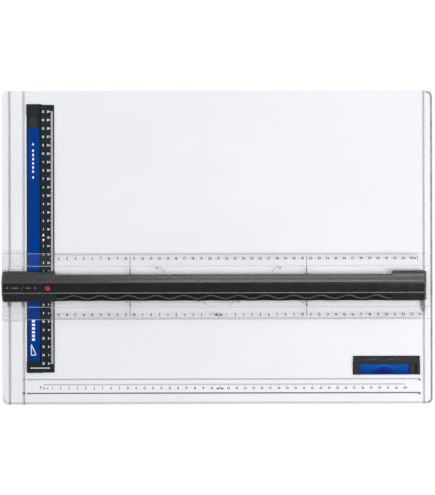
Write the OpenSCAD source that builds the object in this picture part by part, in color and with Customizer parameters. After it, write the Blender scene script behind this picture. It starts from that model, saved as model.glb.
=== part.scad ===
// Drawing board with a clear parallel rule that slides in edge grooves.
// Frame: +X to the right, +Y away from the user, +Z up.
// The origin is on the table, at the middle of the board's footprint.
// The rule stands below the middle of the sheet with its brake on, and both clamps are closed.

/* [Board] */
// Width of the board, left to right
board_w = 514.4; // [513:0.1:516]
// Depth of the board, front to back
board_d = 375; // [374:0.5:380]
// Height of the drawing surface above the table
surface_z = 18; // [18:0.5:20]
// Height of the rubber feet below the board's underside
foot_h = 3; // [2:0.5:4]
// Thickness of the deck that is drawn on
deck_t = 2.6; // [2.2:0.1:3]
// Thickness of the outer skirt
skirt_t = 3; // [2.4:0.2:3.2]
// Radius of the front left corner
corner_fl = 5; // [3:0.5:7]
// Radius of the front right corner
corner_fr = 7.5; // [4:0.5:9]
// Radius of the two rear corners
corner_rear = 3.5; // [2:0.5:6]

/* [Guide grooves] */
// Width of a guide groove
groove_w = 3; // [2.8:0.1:3.2]
// Depth of a guide groove
groove_deep = 3.5; // [3.4:0.1:3.8]
// Outer left groove, from the board's left edge
groove_in_1 = 8.9; // [8.7:0.1:9.1]
// Inner left groove, from the board's left edge
groove_in_2 = 25.7; // [25.4:0.1:25.8]
// Right groove, from the board's right edge
groove_in_3 = 12.3; // [12:0.1:12.4]

/* [Sheet stop and scale grooves] */
// Depth of the step that the sheet is pushed against
stop_step = 0.3; // [0.2:0.05:0.3]
// Rear scale groove, from the board's front edge
scale_groove_rear = 30.8; // [30:0.1:31.4]
// Front scale groove, from the board's front edge
scale_groove_front = 14.2; // [12:0.1:16]
// Width of a scale groove
scale_groove_w = 1.6; // [1.2:0.1:2]

/* [Clamps] */
// Height that a clamp rises when its slider is pushed open
clamp_lift = 1.2; // [0.8:0.1:1.2]
// Length of the side clamp bar
bar_len = 319.4; // [318:0.1:320]
// Travel of the side clamp's slider
bar_travel = 14.2; // [10:0.1:14.2]
// Length of the corner clamp
corner_len = 79.3; // [78:0.1:80]
// Travel of the corner clamp's slider
corner_travel = 7.5; // [6:0.1:7.5]

/* [Rule] */
// Width of the clear blade, front to back
blade_w = 79; // [78:0.5:80]
// Thickness of the blade between its bevels
blade_t = 2.4; // [2.2:0.1:2.4]
// Width of the clear head plate, front to back
head_w = 85.7; // [84:0.1:88]
// Distance from the blade's rear edge to the board's middle
blade_rear = -6.6; // [-9:0.1:-5]

/* [Handle] */
// Travel of the handle between its stop and go positions
handle_travel = 4; // [3:0.5:4]
// Height of the handle's ridge above the table
ridge_z = 36; // [35.5:0.5:37]
// Radius of the round button
button_r = 3.7; // [3.4:0.1:3.7]
// Travel of the round button
button_travel = 1.5; // [1:0.1:1.5]

/* [Hidden] */
$fn = 48;

eps = 0.05;                  // gap that keeps touching pieces apart
cut = 1;                     // how far a cutter runs past a face

// Board edges and levels
left = -board_w / 2;
right = board_w / 2;
front = -board_d / 2;
rear = board_d / 2;
under_z = foot_h;
deck_z = surface_z - deck_t;
groove_z = surface_z - groove_deep;
channel_z = groove_z - 1.6;
channel_half = groove_w / 2 + 1.7;
groove_1 = left + groove_in_1;
groove_2 = left + groove_in_2;
groove_3 = right - groove_in_3;
groove_chamfer = 0.5;
sheet_z = surface_z - stop_step;
stop_x = left + 49.7;
stop_y = front + 49.9;

// Scale grooves
scale_x0 = left + 29.2;
scale_x1 = right - 16.4;
scale_deep = 1.4;
notch_half = 2.4;
notch_long = 3;

// Inside of the board
cover_gap = 0.3;
cover_z0 = under_z + 0.2;
cover_z1 = cover_z0 + 2.4;
rib_t = 1.6;
rib_z = 8.5;
rib_xs = [-190 : 38 : 228];
rib_ys = [-143 : 41 : 165];
panel_deep = 0.8;
panel_r = 6;
boss_r = 3.6;
pilot_r = 1.25;
pilot_top = 12.4;
cover_head_r = 2.6;
cover_head_t = 1.05;
boss_spots = [
    for (y = [-150, 0, 150]) [(groove_1 + groove_2) / 2, y],
    for (x = [-80, 80], y = [-165, 165]) [x, y],
    for (y = [-168, 0, 150]) [right - 26, y]
];
foot_r = 7;
stem_r = 2.4;
stem_barb_r = 3.2;
stem_tip_r = 1.6;
foot_spots = [[-225, -165], [225, -150], [-225, 165], [225, 165], [0, 0]];
foot_seat = 1.2;

// Clamps: u runs across from the outer edge, v runs along the slider's travel
clamp_top = surface_z + 2.2;
pocket_z = surface_z - 6;
pocket_gap = 0.5;
pocket_wall = 2;
pocket_floor_t = 1.6;
floor_z0 = surface_z - 3.8;
floor_z1 = floor_z0 + 1.4;
lip_t = 1.6;
lip_z = surface_z - 0.6;
inner_wall = 1.6;
flange_z0 = surface_z + 0.1;
flange_z1 = surface_z + 1.6;
slider_z0 = floor_z1 + 0.2;
slider_gap = 0.3;
foot_len = 8;
foot_wide = 6;
slot_gap = 0.3;
ramp_gap = 0.2;
ramp_z0 = surface_z - 5.1;
keeper_t = 0.8;
magnet_t = 1.2;
grip_recess = 0.5;
pad_from_edge = 3;
pad_from_end = 4;
pad_gap = 0.1;
flange_bevel = 1.6;
flange_edge_t = 0.5;
slot_end_gap = 0.4;
magnet_side = 2;

bar_x = left + 30;
bar_y = front + 39.1;
bar_channel = 16;
bar_wide = 32.6;
bar_block_lo = 13.6;
bar_block_hi = 13.5;
bar_feet = [34, 116, 198, 268];
bar_magnets = [68, 150, 226];
bar_magnet_len = 34;
bar_short_end = 0.6;
// The rubber pads start just inside the sheet stop, or the pocket
bar_pad_u = stop_x + 0.5 - bar_x;
bar_pad_v = stop_y + 0.5 - bar_y;

corner_x = right - 96;
corner_y = front + 36.1;
corner_channel = 12.5;
corner_wide = 22.1;
corner_block_lo = 7.8;
corner_block_hi = 3.5;
corner_feet = [12, 50];
corner_magnets = [33];
corner_magnet_len = 14;
corner_bevel = 3;
// Thumb recess in the corner slider: a round scoop from its open side
thumb_v = 37;
thumb_r = 10.5;
thumb_out = 5;
thumb_deep = 1.3;
corner_pad_u = corner_channel + inner_wall + pocket_gap + 0.2;
corner_pad_v = 4;

// Rule
blade_z0 = surface_z + 3.8;
blade_z1 = blade_z0 + blade_t;
blade_edge_t = 1;
blade_front = blade_rear - blade_w;
// Middle line of the rail, from which the rule's other parts are placed
mid_y = blade_rear - 38.5;
bevel_rear = 15.1;
bevel_front = 13.3;
blade_corner = 5;
head_z0 = surface_z + 2;
head_x0 = left;
head_x1 = bar_x - 0.4;
blade_x0 = head_x1 + 0.2;
blade_x1 = right - 3.2;
head_rear = blade_rear + 4.1;
head_front = head_rear - head_w;
head_corner = 4;
shoe_z0 = surface_z + 0.3;
keel_z = groove_z + 0.4;
keel_half = groove_w / 2 - 0.2;
keel_taper = 5;
keel_tip = 0.4;
spring_seat = 1.1;
left_keel_y0 = mid_y - 25.5;
left_keel_y1 = mid_y + 16;
right_keel_y0 = mid_y - 32;
right_keel_y1 = mid_y + 17;
guide_spring_y = mid_y - 14;
guide_spring_len = 24;

// Rail under the handle
rail_x0 = left + 8.2;
rail_x1 = right - 13.2;
rail_half = 9;
rail_floor = blade_z1 + 1.6;
rail_top = rail_floor + 2.6;
rail_wall = 1.5;
rail_lip = 1.6;
rail_lip_t = 1;
screw_r = 1.25;
rail_head_r = 2.5;
rail_head_t = 1;
shoe_screw_r = 1;
shoe_head_r = 2.2;
shoe_head_t = 1.2;
rail_screw_spots = [
    [head_x1 - 3.8, mid_y - 4.5], [head_x1 - 3.8, mid_y + 4.5],
    for (x = [-216, -140, -100, -20, 20, 100, 140, 216]) [x, mid_y]
];
shoe_mid_x = (groove_1 + groove_2) / 2;
left_shoe_screws = [[shoe_mid_x, mid_y - 14.5], [shoe_mid_x, mid_y + 11.9]];
right_shoe_screws = [[groove_3, mid_y - 15], [groove_3, mid_y + 12.5]];

// Brake: the shoe stands in a window between the left grooves
brake_x0 = shoe_mid_x - 5.35;
brake_x1 = shoe_mid_x + 5.05;
brake_half = 5.5;
brake_slope = 0.2;
brake_slot = 2.4;
brake_top = rail_floor + 3.2;
pad_t = 0.8;
pad_inset = 0.3;
pad_rest = surface_z + 0.1;
window_gap = 0.6;

// Handle
handle_x0 = left + 1.5;
handle_x1 = right - 9.2;
handle_z0 = blade_z1 + 0.3;
head_end = handle_x0 + 62.6;
tail_start = handle_x1 - 41;
bar_rear_y = mid_y + 13.6;
bar_front_y = mid_y - 18.3;
head_rear_y = mid_y + 17.6;
head_front_y = mid_y - 18.9;
tail_rear_y = head_rear_y;
ridge_y = mid_y + 3.3;
seam_y = mid_y - 8.5;
seam_z = ridge_z - 3;
step_half = 1.6;
wall = 2;
grip_t = 1.7;
grip_y = seam_y - 1.2;
grip_z = seam_z - 1.4;
grip_x0 = head_end + 2.2;
grip_x1 = tail_start - 1.2;
grip_foot_z = handle_z0 + 0.2;
grip_inner_z = handle_z0 + 1.9;
grip_rim = 1.9;
wave_pitch = 32.6;
wave_count = 12;
wave_first = handle_x0 + 84.6;
wave_deep = 0.5;
wave_r = 80;
block_len = 16;
block_spots = [-180, -60, 60, 180];
block_wide_half = 7.1;
block_neck_half = 5.5;
post_z = rail_top + 2.2;
post_r = 3;
post_screw_r = 1.15;
button_x = -201.7;
button_y = mid_y - 2.9;
bezel_r = 4.4;
bezel_floor = 0.6;
bezel_z0 = rail_top + 0.8;
bezel_z1 = ridge_z - 2.7;
button_top = ridge_z - 0.6;
button_foot = bezel_z0 + bezel_floor + button_travel + 0.2;
button_ceiling = button_top - 2;
dome = 1.3;

// ---------- helpers ----------

module block(x0, x1, y0, y1, z0, z1)
    translate([x0, y0, z0]) cube([x1 - x0, y1 - y0, z1 - z0]);

// Extrudes a (Y, Z) profile along X
module along_x(x0, x1)
    translate([x0, 0, 0]) rotate([90, 0, 90]) linear_extrude(x1 - x0) children();

// Extrudes an (X, Z) profile along Y
module along_y(y0, y1)
    translate([0, y1, 0]) rotate([90, 0, 0]) linear_extrude(y1 - y0) children();

module upright(x, y, z0, z1, r)
    translate([x, y, z0]) cylinder(r = r, h = z1 - z0);

// Rectangle with one radius per corner: front left, front right, rear right, rear left
module rounded_rect(x0, y0, x1, y1, r) {
    polygon([
        [x0 + r[0], y0], [x1 - r[1], y0], [x1, y0 + r[1]], [x1, y1 - r[2]],
        [x1 - r[2], y1], [x0 + r[3], y1], [x0, y1 - r[3]], [x0, y0 + r[0]]
    ]);
    translate([x0 + r[0], y0 + r[0]]) circle(r[0]);
    translate([x1 - r[1], y0 + r[1]]) circle(r[1]);
    translate([x1 - r[2], y1 - r[2]]) circle(r[2]);
    translate([x0 + r[3], y1 - r[3]]) circle(r[3]);
}

module board_outline(inset)
    rounded_rect(
        left + inset, front + inset, right - inset, rear - inset,
        [for (r = [corner_fl, corner_fr, corner_rear, corner_rear]) max(r - inset, 1)]
    );

// A screw with a flat head, drawn head down
module screw_up(x, y, z_head, z_neck, z_tip, r_head, r) {
    upright(x, y, z_head, z_neck, r_head);
    upright(x, y, z_neck - eps, z_tip, r);
}

// The cross that a screwdriver fits
module cross_slot(x, y, z)
    for (a = [0, 90])
        translate([x, y, z]) rotate([0, 0, a]) cube([3, 0.7, 1], center = true);

function ease(t) = t * t * (3 - 2 * t);

// ---------- board ----------

module guide_groove(x)
    along_y(front - cut, rear + cut)
        polygon([
            [x - groove_w / 2, groove_z], [x + groove_w / 2, groove_z],
            [x + groove_w / 2, surface_z - groove_chamfer],
            [x + groove_w / 2 + groove_chamfer, surface_z],
            [x + groove_w / 2 + groove_chamfer, surface_z + cut],
            [x - groove_w / 2 - groove_chamfer, surface_z + cut],
            [x - groove_w / 2 - groove_chamfer, surface_z],
            [x - groove_w / 2, surface_z - groove_chamfer]
        ]);

module groove_channel(x)
    block(x - channel_half, x + channel_half, front, rear, channel_z, deck_z + eps);

// A scale groove with a small triangular pocket near each end
module scale_groove(y) {
    z = surface_z - scale_deep;
    block(scale_x0, scale_x1, y - scale_groove_w / 2, y + scale_groove_w / 2, z, surface_z + cut);
    for (x = [scale_x0 + notch_half, scale_x1 - notch_half])
        translate([x, y, z])
            linear_extrude(scale_deep + cut)
                polygon([[-notch_half, 0], [notch_half, 0], [0, -notch_long]]);
}

// The board's share of one clamp: the wall and floor around its pocket, then the pocket itself
module clamp_well(length, wide)
    block(-pocket_gap - pocket_wall, wide + pocket_gap + pocket_wall,
        -pocket_gap - pocket_wall, length + pocket_gap + pocket_wall,
        pocket_z - pocket_floor_t, deck_z + eps);

module clamp_pocket(length, wide)
    block(-pocket_gap, wide + pocket_gap, -pocket_gap, length + pocket_gap,
        pocket_z, surface_z + cut);

module at_bar()
    translate([bar_x, bar_y, 0]) children();

// The corner clamp lies across the board, so its u and v are swapped
module at_corner()
    translate([corner_x, corner_y, 0]) mirror([1, -1, 0]) children();

module ribs() {
    inset = skirt_t - eps;
    for (x = rib_xs)
        block(x - rib_t / 2, x + rib_t / 2, front + inset, rear - inset, rib_z, deck_z + eps);
    for (y = rib_ys)
        block(left + inset, right - inset, y - rib_t / 2, y + rib_t / 2, rib_z, deck_z + eps);
}

module drawing_plate() color("whitesmoke")
    difference() {
        union() {
            translate([0, 0, deck_z]) linear_extrude(deck_t) board_outline(0);
            translate([0, 0, under_z])
                linear_extrude(deck_z - under_z + eps)
                    difference() {
                        board_outline(0);
                        board_outline(skirt_t);
                    }
            intersection() {
                for (x = [groove_1, groove_2, groove_3]) groove_channel(x);
                linear_extrude(surface_z) board_outline(0);
            }
            at_bar() clamp_well(bar_len, bar_channel + inner_wall);
            at_corner() clamp_well(corner_len, corner_channel + inner_wall);
            ribs();
            for (p = boss_spots) upright(p[0], p[1], cover_z1 + 0.1, deck_z + eps, boss_r);
        }
        for (x = [groove_1, groove_2, groove_3]) guide_groove(x);
        for (y = [scale_groove_rear, scale_groove_front]) scale_groove(front + y);
        block(stop_x, groove_3, stop_y, rear + cut, sheet_z, surface_z + cut);
        at_bar() clamp_pocket(bar_len, bar_channel + inner_wall);
        at_corner() clamp_pocket(corner_len, corner_channel + inner_wall);
        for (p = boss_spots) upright(p[0], p[1], cover_z1, pilot_top, pilot_r);
    }

// A shallow recess in the underside, half_x by half_y about its middle
module panel(x, y, half_x, half_y)
    translate([x, y, cover_z0 - cut])
        linear_extrude(cut + panel_deep)
            rounded_rect(-half_x, -half_y, half_x, half_y, [for (i = [0 : 3]) panel_r]);

module back_cover() color("gainsboro")
    difference() {
        translate([0, 0, cover_z0])
            linear_extrude(cover_z1 - cover_z0) board_outline(skirt_t + cover_gap);
        for (x = [-180, -60, 60, 180], y = [-118, 118]) panel(x, y, 52, 36);
        for (x = [-150, 150]) panel(x, 0, 72, 64);
        for (p = foot_spots) {
            upright(p[0], p[1], cover_z0 - cut, cover_z0 + foot_seat, foot_r + 0.2);
            upright(p[0], p[1], cover_z0, cover_z1 + cut, stem_r + 0.2);
        }
        for (p = boss_spots) {
            upright(p[0], p[1], cover_z0 - cut, cover_z0 + cover_head_t + 0.25, cover_head_r + 0.3);
            upright(p[0], p[1], cover_z0, cover_z1 + cut, pilot_r + 0.35);
        }
    }

module rubber_feet() color("dimgray") {
    bevel = 0.8;
    seat_z = cover_z0 + foot_seat - eps;
    barb_z = cover_z1 + 0.9;
    tip_z = cover_z1 + 2.4;
    for (p = foot_spots)
        translate([p[0], p[1], 0])
            rotate_extrude()
                polygon([
                    [0, 0], [foot_r - bevel, 0], [foot_r, bevel], [foot_r, seat_z],
                    [stem_r, seat_z], [stem_r, barb_z], [stem_barb_r, barb_z + eps],
                    [stem_tip_r, tip_z], [0, tip_z]
                ]);
}

module cover_screws() color("silver")
    for (p = boss_spots)
        difference() {
            screw_up(p[0], p[1], cover_z0 + 0.2, cover_z0 + 0.2 + cover_head_t, pilot_top - 0.6,
                cover_head_r, pilot_r - eps);
            cross_slot(p[0], p[1], cover_z0 + 0.4);
        }

// ---------- clamps, in their own u, v frame ----------

function ramp_slope(travel) = clamp_lift / travel;

module clamp_frame(length, channel, wide, block_lo, block_hi, feet, travel, pad_u, pad_v, short_end) {
    wall_u = channel + inner_wall;
    mid = channel / 2;
    difference() {
        union() {
            block(0, wall_u, 0, length, floor_z0, floor_z1);
            block(0, lip_t, 0, length, floor_z0, lip_z);
            block(channel, wall_u, 0, length, floor_z0, clamp_top);
            block(0, wall_u, 0, block_lo, floor_z0, clamp_top);
            block(0, wall_u, length - block_hi, length, floor_z0, clamp_top);
            along_y(0, length - short_end)
                polygon([
                    [channel, flange_z0], [wide, flange_z0], [wide, flange_z0 + flange_edge_t],
                    [wide - flange_bevel, flange_z1], [wall_u, flange_z1], [wall_u, clamp_top],
                    [channel, clamp_top]
                ]);
        }
        for (f = feet)
            block(mid - foot_wide / 2 - slot_gap, mid + foot_wide / 2 + slot_gap,
                f - slot_end_gap, f + foot_len + travel + slot_end_gap,
                floor_z0 - cut, floor_z1 + cut);
        block(pad_u - pad_gap, wide - pad_from_edge + pad_gap,
            pad_v - pad_gap, length - pad_from_end + pad_gap,
            flange_z0 - cut, flange_z0 + grip_recess);
    }
}

module grip_pad(length, wide, pad_u, pad_v)
    block(pad_u, wide - pad_from_edge, pad_v, length - pad_from_end,
        sheet_z + eps, flange_z0 + grip_recess - 0.02);

// The wedges that stand in the board's pocket
module ramps(channel, feet, travel) {
    mid = channel / 2;
    rise = ramp_slope(travel) * (foot_len + travel);
    for (f = feet)
        along_x(mid - foot_wide / 2 + ramp_gap, mid + foot_wide / 2 - ramp_gap)
            polygon([
                [f, pocket_z], [f + foot_len + travel, pocket_z],
                [f + foot_len + travel, ramp_z0 + rise], [f, ramp_z0]
            ]);
}

module keeper(length, channel, feet, travel) {
    mid = channel / 2;
    difference() {
        block(1.5, channel - 1, 3, length - 3, pocket_z, pocket_z + keeper_t);
        for (f = feet)
            block(mid - foot_wide / 2, mid + foot_wide / 2, f - ramp_gap,
                f + foot_len + travel + ramp_gap, pocket_z - cut, pocket_z + keeper_t + cut);
    }
}

module magnets(channel, starts, size)
    for (v = starts)
        block(magnet_side, channel - magnet_side, v, v + size, floor_z0 - magnet_t, floor_z0);

// The slider, with sloped feet that stay parallel to the ramps below
module slider(v0, v1, channel, feet, travel, bevel_end) {
    mid = channel / 2;
    slope = ramp_slope(travel);
    bevel_foot = 1.2;
    over = 0.2;
    outer_slope = 3.6;
    inner_u = channel - slider_gap;
    top = clamp_top - 0.1;
    difference() {
        union() {
            along_y(v0, v1)
                polygon([
                    [over, lip_z + over], [lip_t + over, lip_z + over], [lip_t + over, slider_z0],
                    [inner_u, slider_z0], [inner_u, top - 0.2], [inner_u - 0.4, top],
                    [over + outer_slope, top], [over, surface_z + 0.7]
                ]);
            for (f = feet)
                along_x(mid - foot_wide / 2, mid + foot_wide / 2)
                    polygon([
                        [f, ramp_z0 + eps], [f + foot_len, ramp_z0 + eps + slope * foot_len],
                        [f + foot_len, slider_z0 + eps], [f, slider_z0 + eps]
                    ]);
        }
        if (bevel_end > 0)
            along_x(-cut, channel + cut)
                polygon([
                    [v1 - bevel_end, clamp_top], [v1 + cut, clamp_top],
                    [v1 + cut, slider_z0 + bevel_foot], [v1, slider_z0 + bevel_foot]
                ]);
    }
}

module clamp_bar_frame() color("#2d3036")
    at_bar()
        clamp_frame(bar_len, bar_channel, bar_wide, bar_block_lo, bar_block_hi,
            bar_feet, bar_travel, bar_pad_u, bar_pad_v, bar_short_end);

module clamp_grip_strip() color("#444444")
    at_bar() grip_pad(bar_len, bar_wide, bar_pad_u, bar_pad_v);

module clamp_ramps() color("gainsboro")
    at_bar() ramps(bar_channel, bar_feet, bar_travel);

module clamp_keeper_strip() color("lightsteelblue")
    at_bar() keeper(bar_len, bar_channel, bar_feet, bar_travel);

module clamp_magnets() color("#50484a")
    at_bar() magnets(bar_channel, bar_magnets, bar_magnet_len);

module clamp_slider() color("#0046a0")
    at_bar()
        slider(bar_block_lo + slider_gap, bar_len - bar_block_hi - slider_gap - bar_travel,
            bar_channel, bar_feet, bar_travel, 0);

module corner_clamp_frame() color("#3c3a3e")
    at_corner()
        clamp_frame(corner_len, corner_channel, corner_wide, corner_block_lo, corner_block_hi,
            corner_feet, corner_travel, corner_pad_u, corner_pad_v, 0);

module corner_grip_pad() color("#444444")
    at_corner() grip_pad(corner_len, corner_wide, corner_pad_u, corner_pad_v);

module corner_ramps() color("gainsboro")
    at_corner() ramps(corner_channel, corner_feet, corner_travel);

module corner_keeper_plate() color("lightsteelblue")
    at_corner() keeper(corner_len, corner_channel, corner_feet, corner_travel);

module corner_magnet() color("#50484a")
    at_corner() magnets(corner_channel, corner_magnets, corner_magnet_len);

module corner_slider() color("#0046a0")
    difference() {
        at_corner()
            slider(corner_block_lo + slider_gap,
                corner_len - corner_block_hi - slider_gap - corner_travel,
                corner_channel, corner_feet, corner_travel, corner_bevel);
        upright(corner_x + thumb_v, corner_y - thumb_out, clamp_top - thumb_deep,
            clamp_top + cut, thumb_r);
    }

// ---------- rule ----------

// Holes of the rail screws, from below, and of the shoe screws, from above
module rail_screw_hole(p, z0) {
    upright(p[0], p[1], z0 - cut, blade_z0 + rail_head_t + 0.15, rail_head_r + 0.1);
    upright(p[0], p[1], z0, blade_z1 + cut, screw_r + 0.1);
}

module shoe_screw_hole(p, z0) {
    upright(p[0], p[1], blade_z1 - shoe_head_t - 0.15, blade_z1 + cut, shoe_head_r + 0.2);
    upright(p[0], p[1], z0 - cut, blade_z1, shoe_screw_r + 0.15);
}

module blade() color("#dfeee6")
    difference() {
        along_x(blade_x0, blade_x1)
            polygon([
                [blade_front, blade_z0], [blade_rear, blade_z0],
                [blade_rear, blade_z0 + blade_edge_t],
                [blade_rear - bevel_rear, blade_z1], [blade_front + bevel_front, blade_z1],
                [blade_front, blade_z0 + blade_edge_t]
            ]);
        translate([blade_x1, blade_rear, blade_z0 - cut])
            linear_extrude(blade_t + 2 * cut)
                polygon([[-blade_corner - cut, cut], [cut, cut], [cut, -blade_corner - cut]]);
        for (p = rail_screw_spots) rail_screw_hole(p, blade_z0);
        for (p = right_shoe_screws) shoe_screw_hole(p, blade_z0);
    }

module brake_window(z0, z1)
    block(brake_x0 - window_gap, brake_x1 + window_gap,
        mid_y - brake_half - 0.4, mid_y + brake_half + 0.4, z0, z1);

module head_plate() color("#dfeee6")
    difference() {
        translate([0, 0, head_z0])
            linear_extrude(blade_z1 - head_z0)
                rounded_rect(head_x0, head_front, head_x1, head_rear,
                    [head_corner, 1, 1, head_corner]);
        brake_window(head_z0 - cut, blade_z1 + cut);
        for (p = rail_screw_spots) rail_screw_hole(p, head_z0);
        for (p = left_shoe_screws) shoe_screw_hole(p, head_z0);
    }

// A runner that keeps to one groove and ends in a point at front and rear
module keel(x, y0, y1, z0, z1, half)
    translate([0, 0, z0])
        linear_extrude(z1 - z0)
            polygon([
                [x - half, y0 + keel_taper], [x - keel_tip, y0], [x + keel_tip, y0],
                [x + half, y0 + keel_taper], [x + half, y1 - keel_taper], [x + keel_tip, y1],
                [x - keel_tip, y1], [x - half, y1 - keel_taper]
            ]);

module left_guide_shoe() color("darkgray")
    difference() {
        union() {
            block(left + 2, head_x1 - 0.8, left_keel_y0 + 6, left_keel_y1 - 1, shoe_z0, head_z0);
            for (x = [groove_1, groove_2])
                keel(x, left_keel_y0, left_keel_y1, keel_z, head_z0, keel_half);
        }
        brake_window(shoe_z0 - cut, head_z0 + cut);
        // seat of the leaf spring, in the outer runner's left side
        block(groove_1 - keel_half - cut, groove_1 - keel_half + spring_seat,
            guide_spring_y - 0.5, guide_spring_y + guide_spring_len + 0.5, keel_z - cut, shoe_z0);
        for (p = left_shoe_screws)
            upright(p[0], p[1], shoe_z0 - cut, head_z0 + cut, shoe_screw_r + eps);
    }

module right_guide_shoe() color("darkgray")
    difference() {
        union() {
            keel(groove_3, right_keel_y0, right_keel_y1, shoe_z0, blade_z0, groove_w / 2 + 0.5);
            keel(groove_3, right_keel_y0 + 1, right_keel_y1, keel_z, shoe_z0 + eps, keel_half);
        }
        for (p = right_shoe_screws)
            upright(p[0], p[1], surface_z - 1, blade_z0 + cut, shoe_screw_r + eps);
    }

// How far a bowed leaf stands out at a fraction t of its length
function bow_at(t) = 0.5 - 0.5 * cos(360 * t);

// Bowed leaf that presses the outer runner against its groove
module guide_spring() color("silver") {
    leaf = 0.3;
    bow = 0.75;
    x = groove_1 - keel_half + spring_seat - leaf - eps;
    steps = 16;
    inner = [
        for (i = [0 : steps])
            [x - bow * bow_at(i / steps), guide_spring_y + guide_spring_len * i / steps]
    ];
    translate([0, 0, keel_z + 0.3])
        linear_extrude(2.4)
            polygon(concat(
                inner,
                [for (i = [steps : -1 : 0]) inner[i] + [leaf, 0]]
            ));
}

module carriage_rail() color("silver") {
    inner = rail_half - rail_wall;
    difference() {
        along_x(rail_x0, rail_x1)
            translate([mid_y, 0])
                difference() {
                    translate([-rail_half, blade_z1]) square([2 * rail_half, rail_top - blade_z1]);
                    translate([-inner, rail_floor])
                        square([2 * inner, rail_top - rail_lip_t - rail_floor]);
                    translate([-inner + rail_lip, rail_floor])
                        square([2 * (inner - rail_lip), rail_top + cut - rail_floor]);
                }
        brake_window(blade_z1 - cut, rail_top + cut);
        for (p = rail_screw_spots) upright(p[0], p[1], blade_z1 - cut, rail_floor + cut, screw_r + 0.1);
    }
}

module rail_screws() color("gray")
    for (p = rail_screw_spots)
        screw_up(p[0], p[1], blade_z0 + 0.1, blade_z0 + 0.1 + rail_head_t, rail_floor,
            rail_head_r, screw_r);

module shoe_screws() color("gray")
    for (p = concat(left_shoe_screws, right_shoe_screws))
        translate([0, 0, blade_z1 - 0.1]) mirror([0, 0, 1])
            screw_up(p[0], p[1], 0, shoe_head_t, blade_z1 - shoe_z0 - 0.4,
                shoe_head_r, shoe_screw_r);

// Bowed strip between the rail and the handle's ceiling
module detent_spring() color("silver") {
    half = 30;
    tab = 5;
    thick = 0.5;
    high = ridge_z - 3.9 - thick - rail_floor;
    steps = 24;
    arch = [
        for (i = [0 : steps])
            [half * (2 * i / steps - 1), rail_floor + high * bow_at(i / steps)]
    ];
    along_y(mid_y - 3.5, mid_y + 3.5)
        polygon(concat(
            [[-half - tab, rail_floor]],
            arch,
            [[half + tab, rail_floor], [half + tab, rail_floor + thick]],
            [for (i = [steps : -1 : 0]) arch[i] + [0, thick]],
            [[-half - tab, rail_floor + thick]]
        ));
}

// Leaf that lifts the brake shoe when the cam lets go
module brake_spring() color("silver") {
    leaf = 0.3;
    slant = 0.2;
    low = rail_floor;
    high = rail_floor + 1.9;
    x0 = rail_x0 + 0.2;
    foot_x = x0 + 1.6;
    step_x = foot_x + 1.1;
    tip_x = brake_x0 + 2;
    along_y(mid_y - 2.5, mid_y + 2.5)
        polygon([
            [x0, low], [foot_x, low], [step_x, high], [tip_x, high], [tip_x, high + leaf],
            [step_x - slant, high + leaf], [foot_x - slant, low + leaf], [x0, low + leaf]
        ]);
}

// ---------- brake ----------

module brake_shoe() color("#303236")
    difference() {
        along_y(mid_y - brake_half, mid_y + brake_half)
            polygon([
                [brake_x0, pad_rest + pad_t], [brake_x1, pad_rest + pad_t],
                [brake_x1, brake_top - brake_slope * (brake_x1 - brake_x0)],
                [brake_x0, brake_top]
            ]);
        block(brake_x0 - cut, brake_x0 + brake_slot, mid_y - 3, mid_y + 3,
            rail_floor + 1, rail_floor + 2.25);
    }

module brake_pad() color("#7a2f24")
    block(brake_x0 + pad_inset, brake_x1 - pad_inset,
        mid_y - brake_half + pad_inset, mid_y + brake_half - pad_inset,
        pad_rest, pad_rest + pad_t);

module brake_cam() color("ivory") {
    x0 = brake_x0 - handle_travel;
    x1 = brake_x1 + 1.6;
    z = brake_top + eps;
    top = ridge_z - 4.3;
    along_y(mid_y - 5, mid_y + 5)
        polygon([
            [x0, z + brake_slope * (brake_x0 - x0)], [x1, z - brake_slope * (x1 - brake_x0)],
            [x1, top], [x0, top]
        ]);
}

// ---------- handle ----------

// Rear and front edges of the handle in plan, with a soft step at the head and at the tail
function step_at(x, middle) = ease(min(1, max(0, (x - middle + step_half) / (2 * step_half))));
function rear_edge(x) =
    x < tail_start - step_half ?
        head_rear_y + (bar_rear_y - head_rear_y) * step_at(x, head_end) :
        bar_rear_y + (tail_rear_y - bar_rear_y) * step_at(x, tail_start);
function front_edge(x) =
    head_front_y + (bar_front_y - head_front_y) * step_at(x, head_end);

module handle_plan() {
    corner = 3;
    nose = 0.5;
    blunt = 0.9;
    tail_cut_x = 4.5;
    tail_cut_y = 6;
    tail_bevel = 1.5;
    steps = 8;
    step_xs = [for (i = [0 : steps]) step_half * (2 * i / steps - 1)];
    polygon(concat(
        [[handle_x0 + corner, head_front_y]],
        [for (x = step_xs) [head_end + x, front_edge(head_end + x)]],
        [[handle_x1 - tail_cut_x, bar_front_y], [handle_x1, bar_front_y + tail_cut_y],
            [handle_x1, tail_rear_y - tail_bevel], [handle_x1 - tail_bevel, tail_rear_y]],
        [for (x = step_xs) [tail_start - x, rear_edge(tail_start - x)]],
        [for (x = step_xs) [head_end - x, rear_edge(head_end - x)]],
        [[handle_x0 + corner, head_rear_y], [handle_x0 + blunt, head_rear_y - blunt],
            [handle_x0 + nose, head_rear_y - corner],
            [handle_x0, (head_rear_y + head_front_y) / 2],
            [handle_x0 + nose, head_front_y + corner],
            [handle_x0 + blunt, head_front_y + blunt]]
    ));
}

module handle_profile()
    polygon([
        [tail_rear_y, handle_z0], [tail_rear_y, handle_z0 + 0.9], [ridge_y, ridge_z],
        [seam_y, seam_z], [seam_y - 0.8, seam_z - 0.9], [head_front_y, handle_z0 + 3.1],
        [head_front_y, handle_z0]
    ]);

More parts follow.
